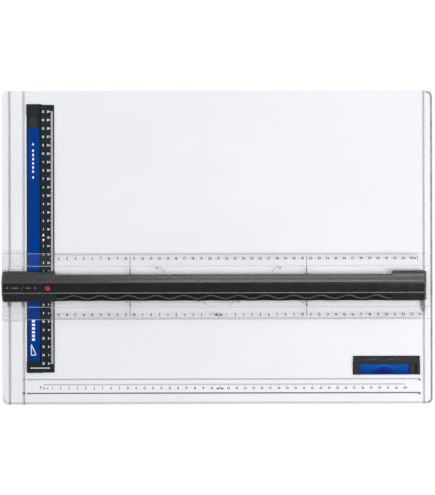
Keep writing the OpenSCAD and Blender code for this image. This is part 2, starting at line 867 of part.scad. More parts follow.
// Hollow of the two wide ends, and of the narrower bar between them
module hollow_profile(front_y, shelf)
    polygon([
        [tail_rear_y - wall, handle_z0 - cut], [tail_rear_y - wall, handle_z0 + 0.4],
        [ridge_y - 0.8, ridge_z - 2.1], [seam_y + 0.6, seam_z - 2],
        [seam_y - 0.4, seam_z - 2 - shelf], [front_y, handle_z0 + 1.2], [front_y, handle_z0 - cut]
    ]);

module handle_cover() color("#3a3b40")
    difference() {
        union() {
            difference() {
                intersection() {
                    along_x(handle_x0 - cut, handle_x1 + cut) handle_profile();
                    translate([0, 0, handle_z0 - cut])
                        linear_extrude(ridge_z - handle_z0 + 2 * cut) handle_plan();
                }
                along_x(handle_x0 + wall, head_end - wall) hollow_profile(head_front_y + wall, 1);
                difference() {
                    along_x(head_end - wall - eps, tail_start + wall)
                        hollow_profile(bar_front_y + grip_t + 2.1, 2.2);
                    block(head_end - wall - cut, tail_start + wall + cut,
                        bar_rear_y - wall, 0, 0, ridge_z);
                }
                along_x(tail_start + wall - eps, handle_x1 - wall)
                    hollow_profile(bar_front_y + wall, 1);
            }
            for (x = block_spots) upright(x, mid_y, post_z, ridge_z - 2.5, post_r);
        }
        grip_space();
        for (x = block_spots) upright(x, mid_y, post_z - cut, ridge_z - 3.1, post_screw_r + eps);
        upright(button_x, button_y, rail_top, ridge_z + cut, bezel_r + eps);
    }

module grip_section()
    polygon([
        [grip_y, grip_z], [bar_front_y, grip_foot_z + 3], [bar_front_y, grip_foot_z],
        [bar_front_y + grip_t, grip_foot_z], [bar_front_y + grip_t, grip_inner_z],
        [grip_y, grip_z - grip_rim]
    ]);

// Room for the grip in the cover: all that lies outside the grip's inner face
module grip_space() {
    gap = 0.1;
    along_x(grip_x0 - 2 * gap, grip_x1 + 2 * gap)
        polygon([
            [grip_y + gap, seam_z + cut], [bar_front_y - cut, seam_z + cut],
            [bar_front_y - cut, handle_z0 - cut], [bar_front_y + grip_t + gap, handle_z0 - cut],
            [bar_front_y + grip_t + gap, grip_inner_z - gap],
            [grip_y + gap, grip_z - grip_rim - gap]
        ]);
}

// The grip's front edge runs in and out under each finger
module finger_grip() color("#404146")
    difference() {
        along_x(grip_x0, grip_x1) grip_section();
        for (i = [0 : wave_count - 1])
            upright(wave_first + i * wave_pitch, bar_front_y - wave_r + wave_deep,
                handle_z0 - cut, seam_z, wave_r);
    }

module slide_blocks() color("ivory")
    for (x = block_spots)
        difference() {
            union() {
                block(x - block_len / 2, x + block_len / 2,
                    mid_y - block_wide_half, mid_y + block_wide_half,
                    rail_floor + 0.2, rail_top - rail_lip_t - 0.2);
                block(x - block_len / 2, x + block_len / 2,
                    mid_y - block_neck_half, mid_y + block_neck_half,
                    rail_floor + 0.2, post_z - 0.1);
            }
            upright(x, mid_y, rail_floor, rail_floor + 2, shoe_head_r + 0.2);
            upright(x, mid_y, rail_floor, ridge_z, post_screw_r + 0.15);
        }

module handle_screws() color("gray")
    for (x = block_spots)
        screw_up(x, mid_y, rail_floor + 0.4, rail_floor + 1.9, ridge_z - 3.6,
            shoe_head_r, post_screw_r);

module button_bezel() color("#1c1d20")
    translate([button_x, button_y, 0])
        difference() {
            upright(0, 0, bezel_z0, bezel_z1, bezel_r);
            upright(0, 0, bezel_z0 + bezel_floor, ridge_z, button_r + 0.15);
        }

module lock_button() color("#c02020")
    translate([button_x, button_y, 0])
        difference() {
            rotate_extrude()
                polygon(concat(
                    [[0, button_foot], [button_r, button_foot], [button_r, button_top - dome]],
                    [for (a = [10 : 10 : 90])
                        [button_r * cos(a), button_top + dome * (sin(a) - 1)]]
                ));
            upright(0, 0, bezel_z0, button_ceiling, button_r - 1);
        }

// Coil computed as rings of points along a helix
module coil(radius, wire, z0, z1, turns) {
    sides = 8;
    per_turn = 16;
    rings = turns * per_turn;
    rise = z1 - z0 - 2 * wire;
    points = [
        for (i = [0 : rings], j = [0 : sides - 1])
            let (
                a = 360 * i / per_turn,
                b = 360 * j / sides,
                r = radius + wire * cos(b)
            )
            [r * cos(a), r * sin(a), z0 + wire + rise * i / rings + wire * sin(b)]
    ];
    faces = concat(
        [[for (j = [0 : sides - 1]) j]],
        [for (i = [0 : rings - 1], j = [0 : sides - 1])
            let (k = (j + 1) % sides)
            [i * sides + j, (i + 1) * sides + j, (i + 1) * sides + k, i * sides + k]],
        [[for (j = [sides - 1 : -1 : 0]) rings * sides + j]]
    );
    polyhedron(points, faces);
}

module button_spring() color("silver")
    translate([button_x, button_y, 0])
        coil(2.1, 0.25, bezel_z0 + bezel_floor + eps, button_ceiling - eps, 4);

drawing_plate();
back_cover();
rubber_feet();
cover_screws();
clamp_keeper_strip();
clamp_ramps();
corner_keeper_plate();
corner_ramps();
clamp_bar_frame();
clamp_magnets();
clamp_grip_strip();
clamp_slider();
corner_clamp_frame();
corner_magnet();
corner_grip_pad();
corner_slider();
blade();
head_plate();
left_guide_shoe();
right_guide_shoe();
carriage_rail();
rail_screws();
shoe_screws();
guide_spring();
brake_spring();
detent_spring();
handle_cover();
finger_grip();
slide_blocks();
handle_screws();
brake_cam();
button_bezel();
lock_button();
button_spring();
brake_shoe();
brake_pad();
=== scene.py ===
"""Looks of a drawing board with a parallel rule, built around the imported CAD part."""

import math
from types import SimpleNamespace

import bmesh
import bpy
from mathutils import Matrix, Vector


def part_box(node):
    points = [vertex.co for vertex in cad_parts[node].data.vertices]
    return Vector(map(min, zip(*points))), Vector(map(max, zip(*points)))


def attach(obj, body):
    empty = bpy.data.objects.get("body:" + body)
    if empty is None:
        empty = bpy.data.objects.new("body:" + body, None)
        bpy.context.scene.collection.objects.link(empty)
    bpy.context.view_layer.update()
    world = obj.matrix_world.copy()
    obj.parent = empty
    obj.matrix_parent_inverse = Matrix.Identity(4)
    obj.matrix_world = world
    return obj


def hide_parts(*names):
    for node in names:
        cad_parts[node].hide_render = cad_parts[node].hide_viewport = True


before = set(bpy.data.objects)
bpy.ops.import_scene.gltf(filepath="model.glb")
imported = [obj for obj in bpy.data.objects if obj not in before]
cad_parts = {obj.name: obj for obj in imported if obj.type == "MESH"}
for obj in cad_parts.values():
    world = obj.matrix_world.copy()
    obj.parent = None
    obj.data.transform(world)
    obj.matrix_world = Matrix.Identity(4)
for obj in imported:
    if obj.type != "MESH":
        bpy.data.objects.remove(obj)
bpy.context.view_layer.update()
MM = 0.001


def span(node):
    """The box of a CAD node at rest, in millimetres."""
    lo, hi = (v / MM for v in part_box(node))
    return SimpleNamespace(x0=lo.x, x1=hi.x, y0=lo.y, y1=hi.y, z0=lo.z, z1=hi.z)


def centre_of(box):
    return (box.x0 + box.x1) / 2, (box.y0 + box.y1) / 2


BOARD = span("drawing_plate")
BLADE = span("blade")
HEAD_PLATE = span("head_plate")
BAR = span("clamp_bar_frame")
BAR_SLIDER = span("clamp_slider")
CORNER = span("corner_clamp_frame")
CORNER_SLIDER = span("corner_slider")
COVER = span("handle_cover")
GRIP = span("finger_grip")
BUTTON = span("lock_button")
BEZEL = span("button_bezel")

# Sizes are in millimetres up to the stage. Half the widths of the sheet and of the smaller one
# marked on the blade, and the middle of each; the blade's marks sit a little to the left
SHEET_HALF = 210
SMALL_SHEET_HALF = 105
SHEET_X0 = BAR.x0 + 19.7
SHEET_Y0 = BOARD.y0 + 49.9
SHEET_MIDDLE = SHEET_X0 + SHEET_HALF
BLADE_MIDDLE = SHEET_MIDDLE - 1.8

# The board: its rounded rim, the guide grooves from the left edge, and the scale grooves from the
# front edge, which stop short of the right edge
BOARD_RIM = 2.4
RIM_BAND = 8.0
GUIDE_GROOVES = (8.9, 25.7)
SCALE_GROOVES = (30.8, 14.2)
GROOVE_END = 15.6

# From the blade's edges to its creases, half the width of the thumb scoop painted as shade on the
# corner slider, and the radius of the button's bright disc, round which painted shade lies
CREASE_IN = 15.1
PAINTED_SCOOP_HALF = 15.0
BUTTON_DISC = 2.8


# ---------- materials ----------

# Mesh attribute that marks lips and beads lightened as painted highlight, partly also wear from
# hands
WEAR_AND_HIGHLIGHT = "rubbed"
CLEAR_IOR = 1.3
FLOOR_GLOW = 0.5
GREY_WORN = (0.16, 0.16, 0.165)


class Paint:
    """A procedural material or world being put together, in object coordinates (metres)."""

    def __init__(self, name, kind=bpy.data.materials, output="OutputMaterial", space="Object"):
        self.made = kind.new(name)
        self.made.use_nodes = True
        self.tree = self.made.node_tree
        self.tree.nodes.clear()
        self.output = self.node(output)
        self.coords = self.node("TexCoord").outputs[space]

    def node(self, kind, inputs=None, **settings):
        """A new node, with its inputs given by name or index."""
        made = self.tree.nodes.new("ShaderNode" + kind)
        for key, value in settings.items():
            setattr(made, key, value)
        for key, value in (inputs or {}).items():
            self.feed(made.inputs[key], value)
        return made

    def feed(self, socket, value):
        """Links an input to an output, or sets its value."""
        if isinstance(value, bpy.types.NodeSocket):
            self.tree.links.new(value, socket)
        elif socket.type == "RGBA":
            socket.default_value = (*value, 1)
        else:
            socket.default_value = value

    def math(self, operation, a, b=0.0, clamp=False):
        return self.node("Math", {0: a, 1: b}, operation=operation, use_clamp=clamp).outputs[0]

    def times(self, a, b):
        return self.math("MULTIPLY", a, b)

    def plus(self, a, b):
        return self.math("ADD", a, b)

    def away(self, value, place):
        """Distance of a value from a place, without its sign."""
        return self.math("ABSOLUTE", self.math("SUBTRACT", value, place))

    def remap(self, value, lo, hi, to_lo=0.0, to_hi=1.0):
        """Goes evenly from to_lo to to_hi while the value goes from lo to hi."""
        ends = {"From Min": lo, "From Max": hi, "To Min": to_lo, "To Max": to_hi}
        return self.node("MapRange", {"Value": value, **ends}).outputs[0]

    def mix(self, factor, a, b):
        return self.node("Mix", {0: factor, 6: a, 7: b}, data_type="RGBA").outputs[2]

    def over(self, base, colour, mask, strength):
        """A colour laid over the base where a mask is 1, at the given strength."""
        return self.mix(self.times(mask, strength), base, colour)

    def noise(self, size_mm, detail, stretch=None, distortion=0.0):
        where = self.coords
        if stretch:
            where = self.node("Mapping", {"Vector": where, "Scale": stretch}).outputs[0]
        return self.node("TexNoise", {"Vector": where, "Scale": 1 / (size_mm * MM),
                                      "Detail": detail, "Distortion": distortion}).outputs["Fac"]

    def patches(self, size_mm, detail, lo, hi, to_lo=0.0, to_hi=1.0, **how):
        """Noise whose values from lo to hi are spread from to_lo to to_hi."""
        return self.remap(self.noise(size_mm, detail, **how), lo, hi, to_lo, to_hi)

    def cells(self, size_mm):
        made = self.node("TexVoronoi", {"Vector": self.coords, "Scale": 1 / (size_mm * MM)})
        return made.outputs["Distance"]

    def axis(self, index):
        return self.node("SeparateXYZ", {0: self.coords}).outputs[index]

    def ramp(self, index, lo_mm, hi_mm, to_lo=0.0, to_hi=1.0):
        """Goes from to_lo to to_hi between two places along one axis."""
        return self.remap(self.axis(index), lo_mm * MM, hi_mm * MM, to_lo, to_hi)

    def band(self, index, centre_mm, half_mm, soft_mm=0.15):
        """1 within half_mm of a place along one axis, falling to 0 outside."""
        away = self.away(self.axis(index), centre_mm * MM)
        return self.remap(away, half_mm * MM, (half_mm + soft_mm) * MM, 1, 0)

    def radius(self, x_mm, y_mm):
        """Distance from a vertical axis, in metres."""
        away = [self.math("SUBTRACT", self.axis(i), at * MM) for i, at in enumerate((x_mm, y_mm))]
        return self.math("SQRT", self.plus(*[self.times(d, d) for d in away]))

    def edges(self, radius_mm, gain=2.6):
        """1 along worn outer edges, from the difference to the rounded normal."""
        rounded = self.node("Bevel", {"Radius": radius_mm * MM}, samples=3).outputs[0]
        normal = self.node("NewGeometry").outputs["Normal"]
        dot = self.node("VectorMath", {0: rounded, 1: normal}, operation="DOT_PRODUCT")
        return self.math("MULTIPLY", self.math("SUBTRACT", 1.0, dot.outputs["Value"]), gain, True)

    def rubbed(self):
        """1 where a piece's own mesh is marked for painted highlight and wear, such as a lip or a
        bead.
        """
        mark = self.node("Attribute", attribute_name=WEAR_AND_HIGHLIGHT).outputs["Fac"]
        return self.times(mark, self.patches(5, 3, 0.3, 0.7, 0.7, 1))

    def corners(self, reach_mm):
        """1 deep in corners and grooves, from ambient occlusion."""
        open_sky = self.node("AmbientOcclusion", {"Distance": reach_mm * MM}, samples=4,
                             only_local=True).outputs["AO"]
        return self.math("SUBTRACT", 1.0, open_sky, True)

    def bump(self, height, depth_mm, strength=1.0, under=None):
        made = self.node("Bump", {"Strength": strength, "Distance": depth_mm * MM,
                                  "Height": height})
        if under is not None:
            self.feed(made.inputs["Normal"], under)
        return made.outputs[0]

    def shader(self, kind, **inputs):
        named = {key.replace("_", " "): value for key, value in inputs.items()}
        return self.node("Bsdf" + kind, named).outputs[0]

    def mix_shaders(self, factor, a, b):
        return self.node("MixShader", {0: factor, 1: a, 2: b}).outputs[0]

    def done(self, shader):
        self.feed(self.output.inputs["Surface"], shader)
        return self.made

    def finish(self, **inputs):
        """Ends the material with one principled shader."""
        return self.done(self.shader("Principled", **inputs))


def plastic(name, colour, rough, *, grain=0.45, depth=0.012, vary=0.05, worn=None, wear=0.5,
            grime=None, dirt=0.35, gloss=0.5, smear=1.0, tone=None):
    """Moulded plastic: spark-eroded grain, tonal drift, handling smudges, worn edges, dirt, a
    painted highlight on marked lips and crests, and the given tone, which may paint light and
    shade.
    """
    p = Paint(name)
    dark = tuple(c * (1 - vary) for c in colour)
    light = tuple(min(1.0, c * (1 + vary)) for c in colour)
    base = p.mix(p.patches(38, 4, 0.3, 0.7), dark, light)
    # The tone may paint light and shade, as clamp_tone and slider_tone do
    if tone:
        base = tone(p, base)
    if grime:
        settled = p.times(p.corners(2.2), p.patches(5, 3, 0.3, 0.75, 0.4, 1))
        base = p.over(base, grime, settled, dirt)
    if worn:
        scraped = p.times(p.edges(0.35), p.patches(3.5, 4, 0.35, 0.65, 0.15, 1))
        base = p.over(base, worn, scraped, wear)
        # Painted highlight, partly also wear: marked lips and crests take the worn colour as their
        # catch of light
        base = p.over(base, worn, p.rubbed(), 0.8)
    smudge = p.patches(17, 3, 0.35, 0.7, -0.05 * smear, 0.06 * smear, distortion=0.6)
    fine = p.patches(1.1, 2, 0.3, 0.7, -0.03 * smear, 0.03 * smear)
    roughness = p.math("ADD", p.plus(smudge, fine), rough, True)
    return p.finish(Base_Color=base, Roughness=roughness, Specular_IOR_Level=gloss,
                    Normal=p.bump(p.noise(grain, 2.5), depth))


def right_side(p, strength=1.0):
    """0 at the side clamp and full strength at the corner clamp, which share materials."""
    return p.ramp(0, 0, 10, 0, strength)


def clamp_tone(p, base):
    """Paler floor of the clamp channels, dark shadow line where the blue slider ends."""
    floor = p.ramp(2, BOARD.z1 - 1.6, BOARD.z1 - 1.2, 1, 0)
    base = p.over(base, (0.06, 0.065, 0.06), floor, 0.5)
    base = p.mix(right_side(p, 0.6), base, (0.034, 0.028, 0.032))
    # Painted shadow: a dark line just past the blue slider's right edge
    return p.over(base, (0.006, 0.009, 0.016), p.band(0, BAR_SLIDER.x1 + 0.6, 0.7), 0.8)


def corner_scoop(p, base):
    """Painted light and shade on the corner slider: a lighter rear half, a dark thumb scoop, and a
    bright line along the scoop's curved rear rim.
    """
    # Only the corner clamp lies so far right and front
    in_corner = p.times(right_side(p), p.ramp(1, -90, -100))
    # Painted light: the rear half of the slider lighter
    rear = p.ramp(1, CORNER_SLIDER.y0 + 4, CORNER_SLIDER.y1 - 3)
    base = p.over(base, (0.0, 0.072, 0.31), rear, in_corner)
    middle = centre_of(CORNER_SLIDER)[0] - 2
    across = p.math("DIVIDE", p.math("SUBTRACT", p.axis(0), middle * MM), PAINTED_SCOOP_HALF * MM)
    along = p.math("DIVIDE", p.math("SUBTRACT", p.axis(1), CORNER_SLIDER.y0 * MM),
                   (CORNER_SLIDER.y1 - CORNER_SLIDER.y0 - 1.2) * MM)
    reach = p.plus(p.times(across, across), p.times(along, along))
    # Painted shade: darker inside the thumb scoop
    base = p.over(base, (0.0, 0.008, 0.14), p.remap(reach, 0.2, 0.85, 0.75, 0), in_corner)
    # Painted highlight: a bright line along the scoop's curved rim, on its rear part
    painted_scoop_highlight = p.times(p.remap(p.away(reach, 0.95), 0.03, 0.14, 0.55, 0), in_corner)
    return p.over(base, (0.04, 0.20, 0.50), painted_scoop_highlight, p.remap(along, 0.6, 0.9))


def slider_tone(p, base):
    """Painted shade on the slopes and ends along the edges of both sliders, and the painted light
    and shade of the corner slider's scoop.
    """
    # Painted shade: the long slider's outer slope darker
    outer = p.ramp(0, BAR_SLIDER.x0, BAR_SLIDER.x0 + 2.4, 0.8, 0)
    base = p.mix(outer, base, (0.004, 0.010, 0.030))
    # Painted shade along the long slider's right edge
    base = p.over(base, (0.006, 0.016, 0.045), p.band(0, BAR_SLIDER.x1, 0.7), 0.85)
    # Painted shade along the corner slider's rear edge
    edge = p.times(p.band(1, CORNER_SLIDER.y1, 0.8), right_side(p))
    base = p.over(base, (0.005, 0.012, 0.035), edge, 0.85)
    base = corner_scoop(p, base)
    # Painted shade on the corner slider's sloped far end
    far = p.ramp(0, CORNER_SLIDER.x1 - 3.2, CORNER_SLIDER.x1 - 0.2, 0, 0.85)
    return p.mix(far, base, (0.010, 0.018, 0.045))


def rim_line(p):
    """Painted shade: a dark line just inside the board's rounded outline, on its right and front
    sides, where the rim faces away from the light.
    """
    overs = []
    for axis, lo, hi in ((0, BOARD.x0, BOARD.x1), (1, BOARD.y0, BOARD.y1)):
        away = p.away(p.axis(axis), (lo + hi) / 2 * MM)
        over = p.math("SUBTRACT", away, ((hi - lo) / 2 - RIM_BAND) * MM)
        overs.append(p.math("MAXIMUM", over, 0.0))
    squares = p.plus(*[p.times(over, over) for over in overs])
    inset = p.math("SUBTRACT", RIM_BAND * MM, p.math("SQRT", squares))
    # Painted shade band, from about 1.3 to 4.1 mm inside the outline
    line = p.times(p.remap(inset, 1.3 * MM, 1.8 * MM), p.remap(inset, 3.4 * MM, 4.1 * MM, 1, 0))
    right = p.ramp(0, BOARD.x1 - 12, BOARD.x1 - 6)
    front = p.ramp(1, BOARD.y0 + 6, BOARD.y0 + 12, 0.45, 0)
    return p.times(line, p.math("MAXIMUM", right, front))


def worn_white(p):
    """White with rubbing marks from the rule, specks, darkening deep in corners and grooves, and
    painted shade along the rim.
    """
    base = p.mix(p.patches(90, 3, 0.3, 0.7), (0.84, 0.84, 0.875), (0.87, 0.87, 0.895))
    rubbing = p.patches(2.5, 5, 0.62, 0.8, 0, 0.10, stretch=(1, 0.04, 1))
    base = p.mix(rubbing, base, (0.66, 0.67, 0.7))
    base = p.mix(p.patches(6, 6, 0.70, 0.76, 0, 0.12), base, (0.45, 0.44, 0.43))
    # Darker deep in corners and grooves
    base = p.over(base, (0.34, 0.33, 0.32), p.corners(2.4), 0.08)
    # Painted shade along the right and front rim
    return p.over(base, (0.15, 0.15, 0.155), rim_line(p), p.patches(8, 3, 0.3, 0.7, 0.75, 0.95))


def groove_dirt(p, base):
    """Painted shade beside the guide grooves, and darker scale grooves."""
    for inset, strength in zip(GUIDE_GROOVES, (0.12, 0.08)):
        # Painted shade on the board beside each guide groove
        side = p.band(0, BOARD.x0 + inset - 1.2, 0.7, 0.4)
        base = p.over(base, (0.25, 0.25, 0.26), side, strength)
    sunk = p.ramp(2, BOARD.z1 - 0.25, BOARD.z1 - 0.1, 1, 0)
    for inset, strength in zip(SCALE_GROOVES, (0.35, 0.8)):
        line = p.times(p.band(1, BOARD.y0 + inset, 0.9), sunk)
        line = p.times(line, p.band(0, 0, BOARD.x1 - GROOVE_END))
        base = p.over(base, (0.07, 0.07, 0.072), line, strength)
    return base


def board_white(name):
    """White board plastic with eggshell grain, wear and dirt, and painted shade along its rim and
    beside its guide grooves.
    """
    p = Paint(name)
    base = groove_dirt(p, worn_white(p))
    rough = p.patches(14, 4, 0.3, 0.7, 0.40, 0.55, distortion=0.5)
    normal = p.bump(p.noise(0.55, 2), 0.006, under=p.bump(p.noise(60, 2), 0.05, 0.4))
    return p.finish(Base_Color=base, Roughness=rough, Specular_IOR_Level=0.4, Normal=normal)


def rubber(name, colour):
    """Dull rubber: fine pitting, pale bloom and dust in the corners."""
    p = Paint(name)
    bloom = p.patches(9, 5, 0.4, 0.75, 0, 0.5)
    base = p.mix(bloom, colour, tuple(0.6 * c + 0.06 for c in colour))
    base = p.over(base, (0.16, 0.155, 0.15), p.corners(1.5), 0.4)
    normal = p.bump(p.cells(0.5), 0.03, 0.6, under=p.bump(p.noise(1.4, 3), 0.03))
    return p.finish(Base_Color=base, Roughness=p.patches(4, 3, 0.3, 0.7, 0.72, 0.9),
                    Specular_IOR_Level=0.3, Normal=normal)


def metal(name, colour, rough, stretch=(1, 1, 1), tint=None):
    """Metal with drawn or turned lines, a varied oxide tone and bright edges."""
    p = Paint(name)
    base = p.mix(p.patches(12, 4, 0.3, 0.7), tuple(c * 0.86 for c in colour), colour)
    if tint:
        base = p.mix(p.patches(22, 2, 0.45, 0.7), base, tint)
    base = p.over(base, (0.95, 0.95, 0.95), p.edges(0.2), 0.5)
    lines = p.noise(0.35, 3, stretch=stretch)
    roughness = p.remap(lines, 0.3, 0.7, rough - 0.07, rough + 0.09)
    return p.finish(Base_Color=base, Metallic=1.0, Roughness=roughness,
                    Normal=p.bump(lines, 0.008, 0.7))


def red_button(name):
    """Glossy red button: clear top coat, fine dimples, and painted shade: darker red in the recess
    and near black round its bright disc.
    """
    p = Paint(name)
    base = p.mix(p.patches(2.5, 3, 0.3, 0.7), (0.42, 0.012, 0.012), (0.50, 0.02, 0.018))
    base = p.over(base, (0.62, 0.12, 0.10), p.edges(0.5), 0.5)
    # Painted shade: darker red deep in the recess, and near black outside the bright disc, as the
    # shade of the button's socket
    base = p.over(base, (0.10, 0.004, 0.006), p.corners(1.5), 0.6)
    ring = p.remap(p.radius(*centre_of(BUTTON)), BUTTON_DISC * MM, (BUTTON_DISC + 0.4) * MM)
    base = p.mix(ring, base, (0.012, 0.004, 0.005))
    return p.finish(Base_Color=base, Roughness=p.patches(3, 3, 0.3, 0.7, 0.22, 0.34),
                    Coat_Weight=0.4, Coat_Roughness=0.12, Normal=p.bump(p.noise(0.4, 2), 0.004))


def print_ink(name, colour):
    """Screen printing ink: slightly uneven cover and a dull surface."""
    p = Paint(name)
    base = p.mix(p.patches(0.5, 3, 0.35, 0.7), colour, tuple(0.85 * c + 0.05 for c in colour))
    return p.finish(Base_Color=base, Roughness=p.patches(3, 3, 0.3, 0.7, 0.5, 0.7),
                    Specular_IOR_Level=0.3, Normal=p.bump(p.noise(0.3, 2), 0.003))


def sheet_gloss(p, scuffs):
    """The share of light that a clear sheet mirrors, and the shader of what it mirrors. Its
    inner faces mirror nothing, as they would then hide what lies below at low angles."""
    normal = p.bump(p.noise(14, 2), 0.03, 0.5)
    shine = p.shader("Glossy", Roughness=p.remap(scuffs, 0, 1, 0.06, 0.30), Normal=normal)
    fresnel = p.node("Fresnel", {"IOR": CLEAR_IOR, "Normal": normal}).outputs[0]
    behind = p.node("NewGeometry").outputs["Backfacing"]
    return p.times(fresnel, p.math("SUBTRACT", 1.0, behind)), shine


def sheet_cloud(p, scuffs):
    """How hazy a clear sheet is: scuffs and a mottled head, and frosted strips on the creases,
    long edges and rounded edges, painted as the light and dark lines that its bends and edges
    show.
    """
    head = p.ramp(0, HEAD_PLATE.x1, HEAD_PLATE.x1 + 1, 1, 0)
    mottle = p.times(head, p.patches(3.2, 3, 0.4, 0.7, 0.03, 0.22, distortion=0.4))
    rear_crease, front_crease = BLADE.y1 - CREASE_IN, BLADE.y0 + CREASE_IN
    cloud = p.plus(mottle, p.patches(7, 4, 0.4, 0.8, 0.0, 0.012))
    cloud = p.plus(cloud, p.times(scuffs, 0.015))
    cloud = p.plus(cloud, p.ramp(1, rear_crease, rear_crease + 1, 0, 0.01))
    # Painted light lines: grey frosted strips on both creases, then on both long edges
    for crease in (rear_crease, front_crease):
        cloud = p.math("MAXIMUM", cloud, p.times(p.band(1, crease, 0.3, 0.25), 0.38))
    for edge in (BLADE.y1, BLADE.y0):
        cloud = p.math("MAXIMUM", cloud, p.times(p.band(1, edge, 0.5, 0.2), 0.4))
    # Rounded edges frosted too, as painted edge lines
    return p.math("MAXIMUM", cloud, p.times(p.edges(0.3, 1.6), 0.4))


def clear_sheet(name):
    """Clear styrene with a faint green tint, hazy scuffs, and frosted crease lines painted as the
    light lines of its bent edges.
    Light goes straight through it, so what lies below stays sharp and evenly lit."""
    p = Paint(name)
    tint = p.mix(p.patches(45, 4, 0.35, 0.7), (0.992, 0.996, 0.995), (0.998, 1.0, 0.999))
    scuffs = p.patches(1.6, 5, 0.56, 0.74, stretch=(1, 0.06, 1))
    mirrored, shine = sheet_gloss(p, scuffs)
    body = p.mix_shaders(mirrored, p.shader("Transparent", Color=tint), shine)
    haze = p.shader("Diffuse", Color=(0.50, 0.52, 0.515))
    body = p.mix_shaders(sheet_cloud(p, scuffs), body, haze)
    shadow = p.shader("Transparent", Color=(0.997, 0.999, 0.998))
    rays = p.node("LightPath").outputs
    unseen = p.math("MAXIMUM", rays["Is Shadow Ray"], rays["Is Diffuse Ray"])
    return p.done(p.mix_shaders(unseen, body, shadow))


def floor_paper(name):
    """Plain pale floor with a trace of tooth, bright enough to read as white."""
    p = Paint(name)
    base = p.mix(p.patches(25, 4, 0.3, 0.7), (0.93, 0.93, 0.93), (0.95, 0.95, 0.95))
    return p.finish(Base_Color=base, Roughness=0.9, Specular_IOR_Level=0.1,
                    Emission_Color=(1.0, 1.0, 1.0), Emission_Strength=FLOOR_GLOW,
                    Normal=p.bump(p.noise(1.2, 3), 0.02))


def slot_of(material):
    """The slot a material is for: its name, without the number that Blender may add to it."""
    return material.name.split(".")[0]


MATERIALS = {slot_of(made): made for made in (
    board_white("board_plastic"),
    plastic("cover_plastic", (0.62, 0.62, 0.64), 0.5, grain=0.7, depth=0.02,
            grime=(0.3, 0.29, 0.27), worn=(0.75, 0.75, 0.76)),
    rubber("foot_rubber", (0.035, 0.035, 0.037)),
    metal("screw_steel", (0.62, 0.61, 0.58), 0.32, tint=(0.58, 0.55, 0.46)),
    metal("keeper_steel", (0.55, 0.56, 0.57), 0.34, stretch=(1, 0.03, 1)),
    metal("spring_steel", (0.46, 0.47, 0.50), 0.25, tint=(0.40, 0.36, 0.28)),
    plastic("ramp_plastic", (0.70, 0.68, 0.62), 0.42, grain=0.3, grime=(0.3, 0.28, 0.24)),
    plastic("clamp_black", (0.015, 0.022, 0.028), 0.36, depth=0.014, worn=GREY_WORN, wear=0.2,
            grime=(0.012, 0.014, 0.018), dirt=0.6, gloss=0.14, tone=clamp_tone),
    plastic("clamp_blue", (0.0, 0.044, 0.265), 0.34, grain=0.6, depth=0.006, vary=0.10,
            worn=(0.04, 0.16, 0.45), wear=0.4, grime=(0.004, 0.012, 0.05), dirt=0.6, gloss=0.06,
            tone=slider_tone),
    plastic("magnet_dark", (0.06, 0.058, 0.06), 0.55, grain=0.25, depth=0.02,
            worn=(0.2, 0.19, 0.19)),
    clear_sheet("clear_plastic"),
    plastic("runner_grey", (0.44, 0.44, 0.43), 0.38, grain=0.25, depth=0.006,
            worn=(0.6, 0.6, 0.6), grime=(0.16, 0.15, 0.14), dirt=0.4),
    metal("rail_aluminium", (0.80, 0.81, 0.83), 0.34, stretch=(0.02, 1, 1)),
    plastic("handle_anthracite", (0.010, 0.010, 0.0125), 0.27, grain=0.5, depth=0.005,
            worn=(0.18, 0.18, 0.185), wear=0.02, grime=(0.003, 0.003, 0.004), dirt=0.5,
            gloss=0.9, smear=0.4),
    plastic("grip_anthracite", (0.005, 0.005, 0.006), 0.30, grain=0.35, depth=0.012,
            worn=(0.25, 0.25, 0.255), wear=0.1, grime=(0.002, 0.002, 0.002), dirt=0.5,
            gloss=0.5, smear=0.5),
    red_button("button_red"),
    rubber("brake_rubber", (0.03, 0.027, 0.025)),
)}
INK_DARK = print_ink("ink_dark", (0.035, 0.035, 0.04))
INK_WHITE = print_ink("ink_white", (0.93, 0.94, 0.95))
INK_DIM = print_ink("ink_dim", (0.15, 0.15, 0.155))
INK_FAINT = print_ink("ink_faint", (0.045, 0.045, 0.05))
INK_OLIVE = print_ink("ink_olive", (0.17, 0.17, 0.12))
FLOOR = floor_paper("floor_paper")


# ---------- CAD nodes ----------

# Edge rounding of each CAD node in millimetres; nodes not named here get SMALL_ROUNDING
EDGE_ROUNDING = {
    "drawing_plate": 0.16, "back_cover": 0.35, "rubber_feet": 0.5, "cover_screws": 0.12,
    "clamp_bar_frame": 0.3, "clamp_slider": 0.25, "corner_clamp_frame": 0.3,
    "corner_slider": 0.25, "blade": 0.15, "head_plate": 0.25, "left_guide_shoe": 0.25,
    "right_guide_shoe": 0.25, "carriage_rail": 0.2, "slide_blocks": 0.25,
    "button_bezel": 0.2, "brake_cam": 0.25, "brake_shoe": 0.25,
}
SMALL_ROUNDING = 0.08
# Degrees: edges that turn more than the first are rounded, less than the second dissolved
ROUNDING_ANGLE = 32
FLAT_ANGLE = 0.8
UNROUNDED = ("button_spring", "guide_spring", "brake_spring", "detent_spring")


def modifier(obj, name, kind, **settings):
    made = obj.modifiers.new(name, kind)
    for key, value in settings.items():
        setattr(made, key, value)
    return made


def rim_group(obj, name, inside):
    """A vertex group of the vertices that pass a test on their place in millimetres."""
    group = obj.vertex_groups.new(name=name)
    group.add([v.index for v in obj.data.vertices if inside(v.co / MM)], 1.0, "REPLACE")


def on_board_rim(place):
    """True on the top outline of the board, with its rounded corners."""
    from_side = min(place.x - BOARD.x0, BOARD.x1 - place.x)
    from_end = min(place.y - BOARD.y0, BOARD.y1 - place.y)
    in_corner = from_side < RIM_BAND and from_end < RIM_BAND
    return place.z > BOARD.z1 - 0.5 and (min(from_side, from_end) < 0.02 or in_corner)


